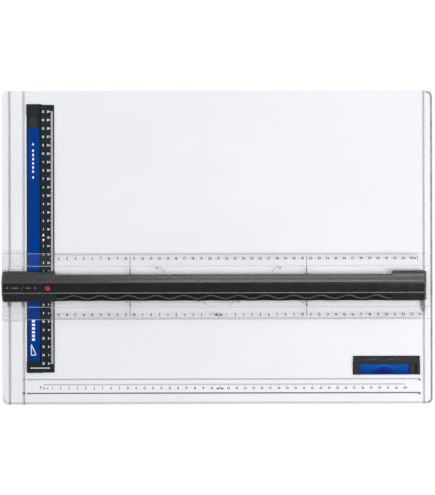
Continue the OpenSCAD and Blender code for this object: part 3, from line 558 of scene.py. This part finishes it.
def round_edges(obj, width):
    """Clean facets of the CAD mesh, then round its edges; the mesh itself isn't touched."""
    modifier(obj, "Weld", "WELD", merge_threshold=1e-6)
    modifier(obj, "Flatten", "DECIMATE", decimate_type="DISSOLVE",
             angle_limit=math.radians(FLAT_ANGLE))
    if obj.name == "drawing_plate":
        rim_group(obj, "rim", on_board_rim)
        modifier(obj, "Rim", "BEVEL", width=BOARD_RIM * MM, segments=4, limit_method="VGROUP",
                 vertex_group="rim", use_clamp_overlap=True)
    if width:
        modifier(obj, "Edges", "BEVEL", width=width * MM, segments=2, limit_method="ANGLE",
                 angle_limit=math.radians(ROUNDING_ANGLE), harden_normals=True,
                 use_clamp_overlap=True)
    modifier(obj, "Shade", "WEIGHTED_NORMAL", keep_sharp=True)


def dress_cad_nodes():
    """Gives each CAD node its material and rounded edges."""
    for name, obj in sorted(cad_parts.items()):
        for slot in obj.material_slots:
            slot.material = MATERIALS[slot_of(slot.material)]
        width = 0 if name in UNROUNDED else EDGE_ROUNDING.get(name, SMALL_ROUNDING)
        round_edges(obj, width)


# ---------- mesh pieces ----------


def add_object(name, data):
    obj = bpy.data.objects.new(name, data)
    bpy.context.scene.collection.objects.link(obj)
    return obj


def mesh_object(name, bm):
    """Turns a bmesh in millimetres into an object."""
    bmesh.ops.scale(bm, vec=(MM, MM, MM), verts=bm.verts)
    bmesh.ops.recalc_face_normals(bm, faces=bm.faces)
    mesh = bpy.data.meshes.new(name)
    bm.to_mesh(mesh)
    bm.free()
    return add_object(name, mesh)


def new_piece(name, bm, body, slot, material=None, smooth_angle=None, replaces=()):
    """Turns a bmesh in millimetres into a named piece that rides on a body."""
    obj = mesh_object(name, bm)
    obj.data.materials.append(material or MATERIALS[slot])
    if smooth_angle:
        smooth(obj, smooth_angle)
    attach(obj, body)
    if replaces:
        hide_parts(*replaces)
    return obj


def smooth(obj, angle):
    obj.data.shade_smooth()
    obj.data.set_sharp_from_angle(angle=math.radians(angle))


def loft(bm, rings, closed=True, caps=True, rubbed=None):
    """Joins rings of points (mm) with quads; the first and last ring get a cap.
    rubbed tells how much certain points of each ring are lightened, as painted highlight and wear."""
    mark = bm.verts.layers.float.get(WEAR_AND_HIGHLIGHT) or bm.verts.layers.float.new(WEAR_AND_HIGHLIGHT)
    rows = [[bm.verts.new(p) for p in ring] for ring in rings]
    count = len(rows[0])
    for row in rows:
        for i, much in (rubbed or {}).items():
            row[i][mark] = much
    for a, b in zip(rows, rows[1:]):
        for i in range(count if closed else count - 1):
            j = (i + 1) % count
            bm.faces.new((a[i], a[j], b[j], b[i]))
    if caps:
        bm.faces.new(rows[0])
        bm.faces.new(list(reversed(rows[-1])))
    return rows


def around(centre, radius, k, count):
    """Place k of count places on a circle."""
    turn = 2 * math.pi * k / count
    return centre[0] + radius * math.cos(turn), centre[1] + radius * math.sin(turn)


def turned(bm, profile, centre, segments=48):
    """A solid of revolution about +Z from (radius, z) points that start and end on the axis."""
    rows = [[bm.verts.new((*around(centre, r, k, segments), z)) for r, z in profile]
            for k in range(segments)]
    for a, b in zip(rows, rows[1:] + rows[:1]):
        for i in range(len(profile) - 1):
            bm.faces.new((a[i], b[i], b[i + 1], a[i + 1]))
    bmesh.ops.remove_doubles(bm, verts=bm.verts, dist=1e-5)
    bmesh.ops.dissolve_degenerate(bm, edges=bm.edges, dist=1e-6)


def ease(t):
    t = min(1.0, max(0.0, t))
    return t * t * (3 - 2 * t)


def blend(a, b, t):
    return a + (b - a) * t


# ---------- handle ----------

# The cover: its wall, its ridge (y, z), the seam above the grip, the steps where the wide head
# and tail begin, and the edges of the narrow bar between them
WALL = 2.0
RIDGE = (COVER.y0 + 22.2, COVER.z1)
SHELL_X0 = COVER.x0 - 1.1
SEAM_Y = COVER.y0 + 11.0
SEAM_Z = COVER.z1 - 3
HEAD_END = COVER.x0 + 62.6
TAIL_START = COVER.x1 - 41
STEP_HALF = 1.6
END_LONG = 3.6
BAR_REAR = COVER.y1 - 4
BAR_FRONT = GRIP.y0

# The grip: its finger scoops along X, its top and low edges in Y
WAVE_PITCH = 32.6
WAVE_FIRST = COVER.x0 + 84.6
WAVE_COUNT = 12
GRIP_TOP = SEAM_Y - 1.4
GRIP_LOW = BAR_FRONT + 0.9
GRIP_BACK = BAR_FRONT + 1.7
GRIP_STEPS = 420
GRIP_GAP = 0.08
BEAD_HIGH = 0.3
SCOOP_DEEP = 1.1
# Angles below which faces shade smoothly, in degrees
HANDLE_SMOOTH = 38
BUTTON_SMOOTH = 40
# Places in the outlines lightened as painted highlight, partly also wear: the lip of the seam, and
# the crest of a scoop
SEAM_LIP = {17: 1.0, 18: 1.0}
GRIP_BEAD = {2: 1.0, 3: 1.0, 10: 0.6, 11: 0.7}


def step_at(x, middle):
    return ease((x - middle + STEP_HALF) / (2 * STEP_HALF))


def rear_edge(x):
    """The rear edge runs wide at head and tail and narrow between them."""
    wide = 1 - step_at(x, HEAD_END) if x < 0 else step_at(x, TAIL_START)
    return blend(BAR_REAR, COVER.y1, wide)


def front_edge(x):
    return blend(COVER.y0, BAR_FRONT, step_at(x, HEAD_END))


def cover_ring(x, squeeze, drop):
    """Open outline of the cover at one place: rear foot, over the ridge, to the front foot.
    squeeze pulls both sides in and drop lowers the top, for the rounded ends."""
    rear, front = rear_edge(x) - squeeze, front_edge(x) + squeeze
    foot = COVER.z0
    wide = (rear - BAR_REAR) / (COVER.y1 - BAR_REAR)
    points = [
        (rear, foot), (rear, foot + blend(1.6, 0.5, wide)),
        (rear - blend(0.15, 0.5, wide), foot + blend(2.6, 1.5, wide)),
        (rear - blend(0.45, 1.7, wide), foot + blend(3.6, 2.8, wide)),
        (rear - blend(0.8, 3.2, wide), foot + blend(4.5, 4.2, wide)),
        (BAR_REAR - 1.3, foot + 5.4), (BAR_REAR - 2.0, foot + 5.9),
        (BAR_REAR - 2.9, foot + 6.45),
        (blend(BAR_REAR - 2.9, RIDGE[0] + 1.2, 0.5), blend(foot + 6.45, RIDGE[1] - 0.5, 0.52)),
        (RIDGE[0] + 1.2, RIDGE[1] - 0.5), (RIDGE[0] + 0.5, RIDGE[1] - 0.12),
        (RIDGE[0] - 0.3, RIDGE[1] - 0.04), (RIDGE[0] - 1.2, RIDGE[1] - 0.28),
        (blend(RIDGE[0], SEAM_Y, 0.5), blend(RIDGE[1], SEAM_Z, 0.5) + 0.06),
        (SEAM_Y + 1.1, SEAM_Z + 0.28), (SEAM_Y + 0.75, SEAM_Z + 0.1),
        (SEAM_Y + 0.55, SEAM_Z - 0.6), (SEAM_Y - 0.4, SEAM_Z + 0.05),
        (SEAM_Y - 0.9, SEAM_Z + 0.22), (SEAM_Y - 1.5, SEAM_Z),
        (SEAM_Y - 2.4, SEAM_Z - 0.55), (blend(SEAM_Y, front, 0.62), SEAM_Z - 2.9),
        (front + 1.5, foot + 3.95), (front + 0.7, foot + 3.4), (front + 0.2, foot + 2.7),
        (front, foot + 1.9), (front, foot),
    ]
    fixed = (0, len(points) - 1)
    return [(x, min(max(y, front), rear), z if i in fixed else max(foot + 0.4, z - drop))
            for i, (y, z) in enumerate(points)]


def inner_ring(x, squeeze):
    """Open outline of the hollow under the cover."""
    rear, front = rear_edge(x) - WALL - squeeze, front_edge(x) + WALL + squeeze
    foot = COVER.z0
    points = [
        (rear, foot), (rear, foot + 1.0), (rear - 1.2, foot + 2.2),
        (RIDGE[0] + 0.6, RIDGE[1] - WALL - 0.5), (RIDGE[0] - 0.6, RIDGE[1] - WALL - 0.3),
        (SEAM_Y + 1.4, SEAM_Z - WALL), (SEAM_Y - 0.4, SEAM_Z - 4.6),
        (front + 1.6, foot + 1.2), (front, foot + 0.6), (front, foot),
    ]
    return [(x, y, z) for y, z in points]


def cover_stations():
    """Places along the handle, close together where its outline changes."""
    x0, x1 = SHELL_X0, COVER.x1
    ends = (0.0, 0.12, 0.35, 0.8, 1.5, 2.4, END_LONG, 3.8, 5.0, 9.0)
    steps = [STEP_HALF * k / 5 for k in (-7, *range(-5, 6), 7)]
    places = [x0 + e for e in ends] + [HEAD_END + s for s in steps]
    places += [x0 + 20, x0 + 40, -150, -100, -50, 0, 50, 100, 150]
    places += [TAIL_START + s for s in steps] + [TAIL_START + 18] + [x1 - e for e in ends]
    return sorted(places)


def end_shape(x):
    """(squeeze, drop) near the two ends: the left one is rounded, the right one slopes."""
    left, right = x - SHELL_X0, COVER.x1 - x
    if left < END_LONG:
        t = 1 - left / END_LONG
        return 2.6 * t ** 3, 3.2 * t ** 3
    if right < END_LONG:
        t = 1 - right / END_LONG
        return 1.8 * t ** 2.4, 8.5 * t ** 4
    return 0.0, 0.0


def shell_mesh(bm):
    """Outer skin, inner skin and the rim that joins them round the open bottom."""
    places = cover_stations()
    outer = loft(bm, [cover_ring(x, *end_shape(x)) for x in places], False, False,
                 rubbed=SEAM_LIP)
    lo, hi = places[0] + WALL, places[-1] - WALL
    inner = loft(bm, [inner_ring(min(max(x, lo), hi) + 1e-3 * i, 0.4)
                      for i, x in enumerate(places)], False, False)
    for a, b, c, d in zip(outer, outer[1:], inner, inner[1:]):
        bm.faces.new((a[0], b[0], d[0], c[0]))
        bm.faces.new((a[-1], c[-1], d[-1], b[-1]))
    for k in (0, -1):
        bm.faces.new(outer[k])
        bm.faces.new(inner[k])
        bm.faces.new((outer[k][0], inner[k][0], inner[k][-1], outer[k][-1]))


def cut_away(obj, bm):
    """Cuts a helper solid, a bmesh in millimetres, out of a piece."""
    tool = mesh_object("cut_tool", bm)
    made = modifier(obj, "Cut", "BOOLEAN", object=tool, operation="DIFFERENCE", solver="EXACT")
    graph = bpy.context.evaluated_depsgraph_get()
    result = bpy.data.meshes.new_from_object(obj.evaluated_get(graph))
    obj.modifiers.remove(made)
    obj.data = result
    bpy.data.objects.remove(tool)


def cylinder(centre, radius, z0, z1, segments=40):
    bm = bmesh.new()
    loft(bm, [[(*around(centre, radius, k, segments), z) for k in range(segments)]
              for z in (z0, z1)])
    return bm


def grip_room():
    """Prism that clears the cover where the grip lies."""
    back = GRIP_BACK + GRIP_GAP
    inside = [
        (SEAM_Y + 0.62, SEAM_Z - 0.5), (SEAM_Y - 0.1, SEAM_Z + 2), (BAR_FRONT - 3, SEAM_Z + 2),
        (BAR_FRONT - 3, COVER.z0 - 1), (back, COVER.z0 - 1), (back, COVER.z0 + 2.2),
        (SEAM_Y + 0.55, SEAM_Z - 1.9),
    ]
    bm = bmesh.new()
    ends = (GRIP.x0 - GRIP_GAP, GRIP.x1 + GRIP_GAP)
    loft(bm, [[(x, y, z) for y, z in inside] for x in ends])
    return bm


def make_cover():
    """The handle's cover, cut out for the button's cup and for the finger grip."""
    bm = bmesh.new()
    shell_mesh(bm)
    cover = new_piece("handle_shell", bm, "handle", "handle_anthracite",
                      replaces=("handle_cover",))
    cup_radius = (BEZEL.x1 - BEZEL.x0) / 2 + 0.05
    cut_away(cover, cylinder(centre_of(BEZEL), cup_radius, COVER.z0 - 2, COVER.z1 + 2))
    cut_away(cover, grip_room())
    smooth(cover, HANDLE_SMOOTH)


def scoop_at(x):
    """Crest of the finger scoop at a place along the grip (its Y), and its depth there (mm)."""
    k = min(WAVE_COUNT - 1, max(0, round((x - WAVE_FIRST) / WAVE_PITCH)))
    u = min(1.0, abs(x - WAVE_FIRST - k * WAVE_PITCH) / (WAVE_PITCH / 2))
    fall = (1 - math.cos(math.pi * u)) / 2
    return blend(GRIP_TOP - 2.6, GRIP_LOW + 1.9, fall), SCOOP_DEEP * (1 - 0.8 * fall)


def grip_height(y):
    """Height of the plain grip surface, without scoops."""
    t = (GRIP_TOP - y) / (GRIP_TOP - GRIP_LOW)
    return blend(SEAM_Z + 0.05, COVER.z0 + 3.9, t ** 1.12) + 0.35 * math.sin(math.pi * t)


def grip_face(crest, deep):
    """Outer outline of the grip: its plain top, the bead on the crest, and the scoop below."""
    plain_part = [blend(GRIP_TOP, crest + 1.0, k / 5) for k in range(6)]
    face = [(y, grip_height(y)) for y in plain_part]
    face += [(crest + away, grip_height(crest + away) + rise * BEAD_HIGH)
             for away, rise in ((0.65, 0.7), (0.15, 1.0), (-0.45, 0.6))]
    for k in range(9):
        t = k / 8
        y = blend(crest - 0.75, GRIP_LOW, t)
        face.append((y, grip_height(y) - deep * blend(1, 0.35, t ** 1.5)))
    return face


def grip_ring(x):
    """Outline of the finger grip at one place, closed round its inner face."""
    foot = COVER.z0 + 0.2
    crest, deep = scoop_at(x)
    pull = 0.45 * deep / SCOOP_DEEP
    front = BAR_FRONT + pull
    lip = [(SEAM_Y + 0.5, SEAM_Z - 1.7), (SEAM_Y + 0.5, SEAM_Z - 0.6),
           (SEAM_Y - 0.4, SEAM_Z + 0.05), (SEAM_Y - 0.9, SEAM_Z + 0.22)]
    rim = [(BAR_FRONT + 0.25 + pull, COVER.z0 + 3.1 - 0.4 * pull), (front, COVER.z0 + 2.3),
           (front, foot + 0.5), (BAR_FRONT + 0.4 + pull, foot)]
    back = [(GRIP_BACK, foot), (GRIP_BACK, COVER.z0 + 1.9)]
    return [(x, y, z) for y, z in lip + grip_face(crest, deep) + rim + back]


def make_grip():
    bm = bmesh.new()
    loft(bm, [grip_ring(blend(GRIP.x0, GRIP.x1, k / GRIP_STEPS)) for k in range(GRIP_STEPS + 1)],
         rubbed=GRIP_BEAD)
    new_piece("finger_grip_inlay", bm, "handle", "grip_anthracite", smooth_angle=HANDLE_SMOOTH,
              replaces=("finger_grip",))


def make_button():
    """Round button with a dished top and a soft rim."""
    radius, top, low = (BUTTON.x1 - BUTTON.x0) / 2, BUTTON.z1, BUTTON.z0
    profile = [(0, top - 0.28), (1.2, top - 0.22), (2.1, top - 0.08), (2.6, top),
               (radius - 0.6, top - 0.02), (radius - 0.25, top - 0.14), (radius - 0.05, top - 0.4),
               (radius, top - 0.8), (radius, low + 0.3), (radius - 0.3, low), (0, low)]
    bm = bmesh.new()
    turned(bm, profile, centre_of(BUTTON))
    new_piece("round_button", bm, "lock_button", "button_red", smooth_angle=BUTTON_SMOOTH,
              replaces=("lock_button",))


# ---------- printed marks ----------

# How far a mark stands above its surface and reaches below it
INK = 0.03
SUNK = 0.02
# Extra stroke and gaps of the digits, for a height of 1
GLYPH_BOLD = 0.052
GLYPH_GAP = 0.16


def flat(z):
    """Plane of marks that face up at one height (mm)."""
    return Matrix.Translation((0, 0, z))


def glyph_outline(digit):
    """Points and faces of a digit, one unit high, with its lower left corner at the origin."""
    curve = bpy.data.curves.new("glyph", "FONT")
    curve.body = digit
    curve.resolution_u = 3
    curve.offset = GLYPH_BOLD
    obj = add_object("glyph", curve)
    graph = bpy.context.evaluated_depsgraph_get()
    mesh = bpy.data.meshes.new_from_object(obj.evaluated_get(graph))
    bm = bmesh.new()
    bm.from_mesh(mesh)
    bmesh.ops.remove_doubles(bm, verts=bm.verts, dist=1e-5)
    xs = [v.co.x for v in bm.verts]
    ys = [v.co.y for v in bm.verts]
    high = max(ys) - min(ys)
    shape = SimpleNamespace(
        points=[((x - min(xs)) / high, (y - min(ys)) / high) for x, y in zip(xs, ys)],
        faces=[[v.index for v in f.verts] for f in bm.faces],
        width=(max(xs) - min(xs)) / high)
    bm.free()
    bpy.data.objects.remove(obj)
    bpy.data.curves.remove(curve)
    bpy.data.meshes.remove(mesh)
    return shape


GLYPHS = {digit: glyph_outline(digit) for digit in "0123456789"}


class Marks:
    """Printed shapes gathered in one thin mesh, laid on a plane."""

    def __init__(self, plane):
        self.bm = bmesh.new()
        self.plane = plane

    def slab(self, points, faces=None):
        """A thin closed slab over flat faces given as indices into points."""
        faces = faces or [list(range(len(points)))]
        low, high = ([self.bm.verts.new(self.plane @ Vector((u, v, w))) for u, v in points]
                     for w in (-SUNK, INK))
        edges = {}
        for face in faces:
            self.bm.faces.new([high[i] for i in face])
            self.bm.faces.new([low[i] for i in reversed(face)])
            for a, b in zip(face, face[1:] + face[:1]):
                edges[(a, b)] = edges.pop((b, a), None) is None and (a, b)
        for pair in edges.values():
            if pair:
                a, b = pair
                self.bm.faces.new((low[a], low[b], high[b], high[a]))

    def bar(self, u0, u1, v0, v1):
        self.slab([(u0, v0), (u1, v0), (u1, v1), (u0, v1)])

    def post(self, u, half, v0, v1):
        """A bar centred on u."""
        self.bar(u - half, u + half, v0, v1)

    def line(self, start, end, width):
        (u0, v0), (u1, v1) = start, end
        long = math.hypot(u1 - u0, v1 - v0)
        du, dv = -(v1 - v0) / long * width / 2, (u1 - u0) / long * width / 2
        self.slab([(u0 - du, v0 - dv), (u1 - du, v1 - dv), (u1 + du, v1 + dv), (u0 + du, v0 + dv)])

    def arrow(self, u, v, size, turn=0.0):
        """Filled triangle that points along +u, turned by an angle in degrees."""
        c, s = math.cos(math.radians(turn)), math.sin(math.radians(turn))
        shape = ((size / 2, 0), (-size / 2, size * 0.42), (-size / 2, -size * 0.42))
        self.slab([(u + a * c - b * s, v + a * s + b * c) for a, b in shape])

    def number(self, text, u, v, height, narrow=0.85):
        """Digits centred on (u, v)."""
        shapes = [GLYPHS[d] for d in text]
        wide = narrow * height
        total = sum(s.width for s in shapes) + GLYPH_GAP * (len(shapes) - 1)
        pen = -total / 2
        for shape in shapes:
            self.slab([(u + (pen + a) * wide, v + (b - 0.5) * height) for a, b in shape.points],
                      shape.faces)
            pen += shape.width + GLYPH_GAP

    def finish(self, name, body, slot, ink):
        new_piece(name, self.bm, body, slot, ink)


# Lengths of the ticks for 1, 5 and 10 mm, and heights of digits
TICKS = (1.7, 2.3, 3.4)
CLAMP_TICKS = (2.4, 3.0, 3.6)
DIGIT = 2.6
CLAMP_DIGIT = 2.8
BLADE_DIGIT = 3.2
BLADE_BEVEL = 1.4
# Thin dashes between the format bars, from the middle of the blade's marks
DASHES = ((-70, -61), (-48, -41), (-31, -22), (-4, 26), (122, 140))


def tick_length(k, lengths):
    small, half, whole = lengths
    return whole if k % 10 == 0 else half if k % 5 == 0 else small


def ticks(marks, start, count, edge, width=0.34, sign=1):
    """Millimetre ticks from an edge, to either side."""
    for k in range(count + 1):
        near, far = sorted((edge, edge + sign * tick_length(k, TICKS)))
        marks.post(start + k, width / 2, near, far)


def board_scale():
    """Front scale of the board, between its two scale grooves."""
    marks = Marks(flat(BOARD.z1))
    edge = BOARD.y0 + 25.4
    row = BOARD.y0 + 20.1
    ticks(marks, SHEET_X0, 430, edge, sign=-1)
    for cm in range(44):
        marks.number(str(cm), SHEET_X0 + 10 * cm, row, DIGIT)
    marks.bar(SHEET_X0 + 2.6, SHEET_X0 + 5.2, row - 0.5, row + 0.5)
    marks.arrow(SHEET_X0 - 3.8, row + 2.2, 2.6, 90)
    marks.bar(SHEET_X0 - 4.1, SHEET_X0 - 3.5, row - 1.2, row + 1.4)
    for side in (-1, 1):
        marks.arrow(SHEET_MIDDLE + side * 3.4, row - 0.6, 3.4, 90 - 90 * side)
    marks.bar(SHEET_X0 + 431, SHEET_X0 + 433.6, row - 0.4, row + 0.4)
    stop = BOARD.x1 - GROOVE_END
    for inset in SCALE_GROOVES:
        marks.bar(stop - 1.9, stop, BOARD.y0 + inset - 2.2, BOARD.y0 + inset - 0.8)
    marks.finish("board_scale", "board", "board_plastic", INK_DARK)


def bevel_plane(y_edge, y_crease):
    """Plane of the sloped strip from an edge of the blade up to its crease."""
    rise = BLADE_BEVEL / abs(y_crease - y_edge)
    angle = math.atan(rise) * (1 if y_crease > y_edge else -1)
    low = Matrix.Translation((0, y_edge, BLADE.z1 - BLADE_BEVEL))
    return low @ Matrix.Rotation(angle, 4, "X")


def rear_scale():
    """Scale printed on the blade's rear slope, from the sheet stop to the far end."""
    marks = Marks(bevel_plane(BLADE.y1, BLADE.y1 - CREASE_IN))
    ticks(marks, BLADE_MIDDLE - SHEET_HALF, 446, -0.5, width=0.28, sign=-1)
    for cm in range(1, 45):
        marks.number(str(cm), BLADE_MIDDLE + 10 * cm - SHEET_HALF, -6.2, BLADE_DIGIT)
    for side in (-1, 1):
        marks.post(BLADE_MIDDLE + side * SMALL_SHEET_HALF, 0.3, 0.6 - CREASE_IN, -4)
    marks.arrow(BLADE_MIDDLE + 233.6, -6.4, 3, 180)
    marks.bar(BLADE_MIDDLE + 236.6, BLADE_MIDDLE + 237.2, -8.6, -3.6)
    marks.finish("blade_rear_scale", "rule", "clear_plastic", INK_DARK)


def front_scale():
    """Scale on the blade's front slope, counted both ways from the sheet's middle."""
    marks = Marks(bevel_plane(BLADE.y0, BLADE.y0 + CREASE_IN))
    ticks(marks, BLADE_MIDDLE - SHEET_HALF, 450, 0.5, width=0.28)
    for cm in range(-20, 25):
        if cm:
            marks.number(str(abs(cm)), BLADE_MIDDLE + 10 * cm, 6.2, BLADE_DIGIT)
    for side in (-1, 1):
        marks.post(BLADE_MIDDLE + side * SMALL_SHEET_HALF, 0.3, 4, CREASE_IN - 0.6)
        marks.arrow(BLADE_MIDDLE + side * 3.4, 5.8, 4, 90 - 90 * side)
    marks.post(BLADE_MIDDLE, 0.25, 3.4, 8)
    marks.finish("blade_front_scale", "rule", "clear_plastic", INK_DARK)


def angle_mark(marks, side, away, v, text):
    """Degrees with a ray that falls towards the middle of the blade."""
    u = BLADE_MIDDLE + side * away
    marks.number(text, u, v, 2.8)
    marks.line((u - side * 2.6, v + 0.9), (u - side * 4.2, v + 0.4), 0.5)
    marks.line((u - side * 4.2, v + 0.4), (u - side * 9.6, v - 5.4), 0.5)


def format_bar(marks, side, rear, front):
    """Thick bar that shows where a smaller sheet ends, on both flats of the blade."""
    u = BLADE_MIDDLE + side * SMALL_SHEET_HALF
    inner, outer = u - side * 12, u + side * 4
    marks.post(u, 0.6, rear - 10, rear - 0.4)
    marks.post(u, 1.7, rear - 9.4, rear - 8.8)
    marks.post(u, 1.5, rear - 5.2, rear - 4.7)
    marks.post(u, 0.6, front + 0.4, front + 11)
    marks.bar(min(inner, outer), max(inner, outer), front + 5.7, front + 6.0)
    marks.post(u, 1.7, front + 1.6, front + 2.1)


def format_marks():
    """Sheet format bars and angle marks on the flat of the blade."""
    marks = Marks(flat(BLADE.z1))
    rear, front = BLADE.y1 - CREASE_IN, BLADE.y0 + CREASE_IN
    for side in (-1, 1):
        format_bar(marks, side, rear, front)
        angle_mark(marks, side, 73, rear - 2.2, "30")
        angle_mark(marks, side, 23.4, front + 7.6, "45")
    for lo, hi in DASHES:
        marks.bar(BLADE_MIDDLE + lo, BLADE_MIDDLE + hi, front + 5.7, front + 5.95)
    marks.finish("blade_format_marks", "rule", "clear_plastic", INK_OLIVE)


def clamp_scale():
    """White scales along the clamp bar: from the stop, and from the middle of the sheet."""
    marks = Marks(flat(BAR.z1))
    whole, centred = BAR.x0 + 25.6, BAR.x0 + 19.6
    edge = BAR.x0 + 31.2
    for k in range(301):
        place = SHEET_Y0 + k
        marks.bar(edge - tick_length(k, CLAMP_TICKS), edge, place - 0.24, place + 0.24)
    for cm in range(31):
        place = SHEET_Y0 + 10 * cm
        marks.number(str(cm), whole, place, CLAMP_DIGIT, narrow=0.75)
        if cm != 15:
            marks.number(str(abs(cm - 15)), centred, place, CLAMP_DIGIT, narrow=0.75)
    for side in (-1, 1):
        marks.arrow(centred, SHEET_Y0 + 150 + side * 3.4, 3.4, 90 * side)
    for k in range(9):
        marks.bar(BAR.x0 + 4 + 2.6 * k, BAR.x0 + 6 + 2.6 * k, BAR.y0 + 4.8, BAR.y0 + 6)
    marks.finish("clamp_scale", "clamp_bar", "clamp_black", INK_WHITE)


def slider_marks():
    """Plain arrows on the long slider and a set-square pictogram near its front end."""
    middle = centre_of(BAR_SLIDER)[0] - 0.4
    marks = Marks(flat(BAR_SLIDER.z1))
    rear, front = BAR_SLIDER.y1 - 19, BAR_SLIDER.y0 + 7
    for place, turn in ((rear, 90), (rear - 40.5, -90)):
        marks.arrow(middle, place, 3.2, turn)
    for k in range(6):
        marks.post(middle, 1, rear - 34.5 + 5 * k, rear - 31.7 + 5 * k)
    corner = (middle - 2.6, front)
    for a, b in (((0, 0), (5.6, 0)), ((0, 0), (0, 13)), ((0, 13), (5.6, 0))):
        marks.line((corner[0] + a[0], corner[1] + a[1]), (corner[0] + b[0], corner[1] + b[1]), 1)
    for k in range(6):
        marks.post(middle, 1.8, front + 17 + 4.4 * k, front + 19.8 + 4.4 * k)
    marks.finish("slider_arrows", "clamp_slider", "clamp_blue", INK_WHITE)


def corner_marks():
    """Dim open and close arrows above the corner slider."""
    marks = Marks(flat(BOARD.z1 + 1.6))
    row = CORNER.y1 - 4.2
    x0 = CORNER.x0
    marks.arrow(x0 + 14, row, 2.6, 180)
    marks.bar(x0 + 20, x0 + 30, row - 0.5, row + 0.5)
    marks.line((x0 + 34, row - 1.2), (x0 + 36, row + 1.2), 0.5)
    marks.bar(x0 + 40, x0 + 50, row - 0.5, row + 0.5)
    marks.arrow(x0 + 56, row, 2.6)
    marks.finish("corner_arrows", "corner_clamp", "clamp_black", INK_FAINT)


def handle_marks():
    """Dim arrows for stop and go on the front face of the handle's head."""
    slope = math.atan2(RIDGE[1] - SEAM_Z, RIDGE[0] - SEAM_Y)
    middle_y = (RIDGE[0] + SEAM_Y) / 2
    height = (RIDGE[1] + SEAM_Z) / 2 + 0.055
    plane = Matrix.Translation((0, middle_y, height)) @ Matrix.Rotation(slope, 4, "X")
    marks = Marks(plane)
    x0 = COVER.x0
    marks.arrow(x0 + 5.6, 0, 3, 180)
    marks.bar(x0 + 11, x0 + 19.5, -0.6, 0.6)
    marks.line((x0 + 23, -1.6), (x0 + 25, 1.6), 0.5)
    marks.bar(x0 + 28, x0 + 34, -0.6, 0.6)
    marks.arrow(x0 + 40, 0, 3)
    marks.finish("handle_arrows", "handle", "handle_anthracite", INK_DIM)


# ---------- stage ----------

# In metres from here on. The picture shows IMAGE_HEIGHT from top to bottom at BOARD_PLANE.
BOARD_PLANE = 0.018
IMAGE_HEIGHT = 0.59006
CAMERA_HEIGHT = 2.5
CAMERA_AIM = (-0.00025, 0.00012)
CAMERA_ROLL = -0.134
SENSOR = 36.0

# The room's light between two heights and two depths of the direction that it comes from
ROOM_LIGHT = 0.46
ROOM_BY_HEIGHT = (0.55, 0.9, ROOM_LIGHT, 0.15 * ROOM_LIGHT)
ROOM_BY_DEPTH = (-0.8, 0.1, 0.45, 1.0)

# Area lights: name, place, what they face, width and height, watts, colour
WHITE = (1, 1, 1)
LIGHTS = (
    ("rear_key", (-0.35, 0.95, 2.0), (0, 0, 0), (1.2, 0.8), 5, WHITE),
    ("left", (-1.5, 0.2, 1.7), (0, 0, 0), (0.8, 1.2), 10, WHITE),
    ("right", (1.1, -0.4, 2.0), (0.05, -0.05, 0), (0.8, 1.2), 19, WHITE),
    ("front_right", (1.5, -0.65, 1.6), (0.1, -0.05, 0), (0.9, 0.9), 15.5, WHITE),
    ("rear", (0.36, 1.3, 0.74), (0.05, 0, 0.03), (1.1, 0.2), 4.0, WHITE),
    ("rear_left", (-0.9, 1.2, 0.7), (-0.2, 0, 0.03), (0.5, 0.3), 0.9, (0.6, 0.78, 1)),
)


def make_floor():
    bm = bmesh.new()
    bmesh.ops.create_grid(bm, x_segments=8, y_segments=8, size=4.0)
    mesh = bpy.data.meshes.new("floor")
    bm.to_mesh(mesh)
    bm.free()
    mesh.materials.append(FLOOR)
    add_object("floor", mesh)


def area_light(name, place, aim, size, power, colour):
    light = bpy.data.lights.new(name, "AREA")
    light.shape = "RECTANGLE"
    light.size, light.size_y = size
    light.energy = power
    light.color = colour
    obj = add_object(name, light)
    obj.location = place
    obj.rotation_euler = (Vector(aim) - Vector(place)).to_track_quat("-Z", "Y").to_euler()


def make_world():
    """A pale room, dim overhead so that level dark faces stay dark, and dim to the front."""
    room = Paint("studio", bpy.data.worlds, "OutputWorld", "Generated")
    light = room.times(room.remap(room.axis(2), *ROOM_BY_HEIGHT),
                       room.remap(room.axis(1), *ROOM_BY_DEPTH))
    glow = room.node("Background", {"Color": WHITE, "Strength": light})
    bpy.context.scene.world = room.done(glow.outputs[0])


def make_lights():
    make_world()
    for light in LIGHTS:
        area_light(*light)


def make_camera():
    """A camera straight above the board, its picture a fraction of a degree off square."""
    camera = bpy.data.cameras.new("camera")
    camera.sensor_width = SENSOR
    camera.lens = SENSOR * (CAMERA_HEIGHT - BOARD_PLANE) / IMAGE_HEIGHT
    camera.clip_end = 20
    obj = add_object("camera", camera)
    obj.location = (*CAMERA_AIM, CAMERA_HEIGHT)
    obj.rotation_euler = (0, 0, math.radians(CAMERA_ROLL))
    bpy.context.scene.camera = obj


dress_cad_nodes()
make_cover()
make_grip()
make_button()
board_scale()
rear_scale()
front_scale()
format_marks()
clamp_scale()
slider_marks()
corner_marks()
handle_marks()
make_floor()
make_lights()
make_camera()
bpy.context.scene.view_settings.view_transform = "Standard"
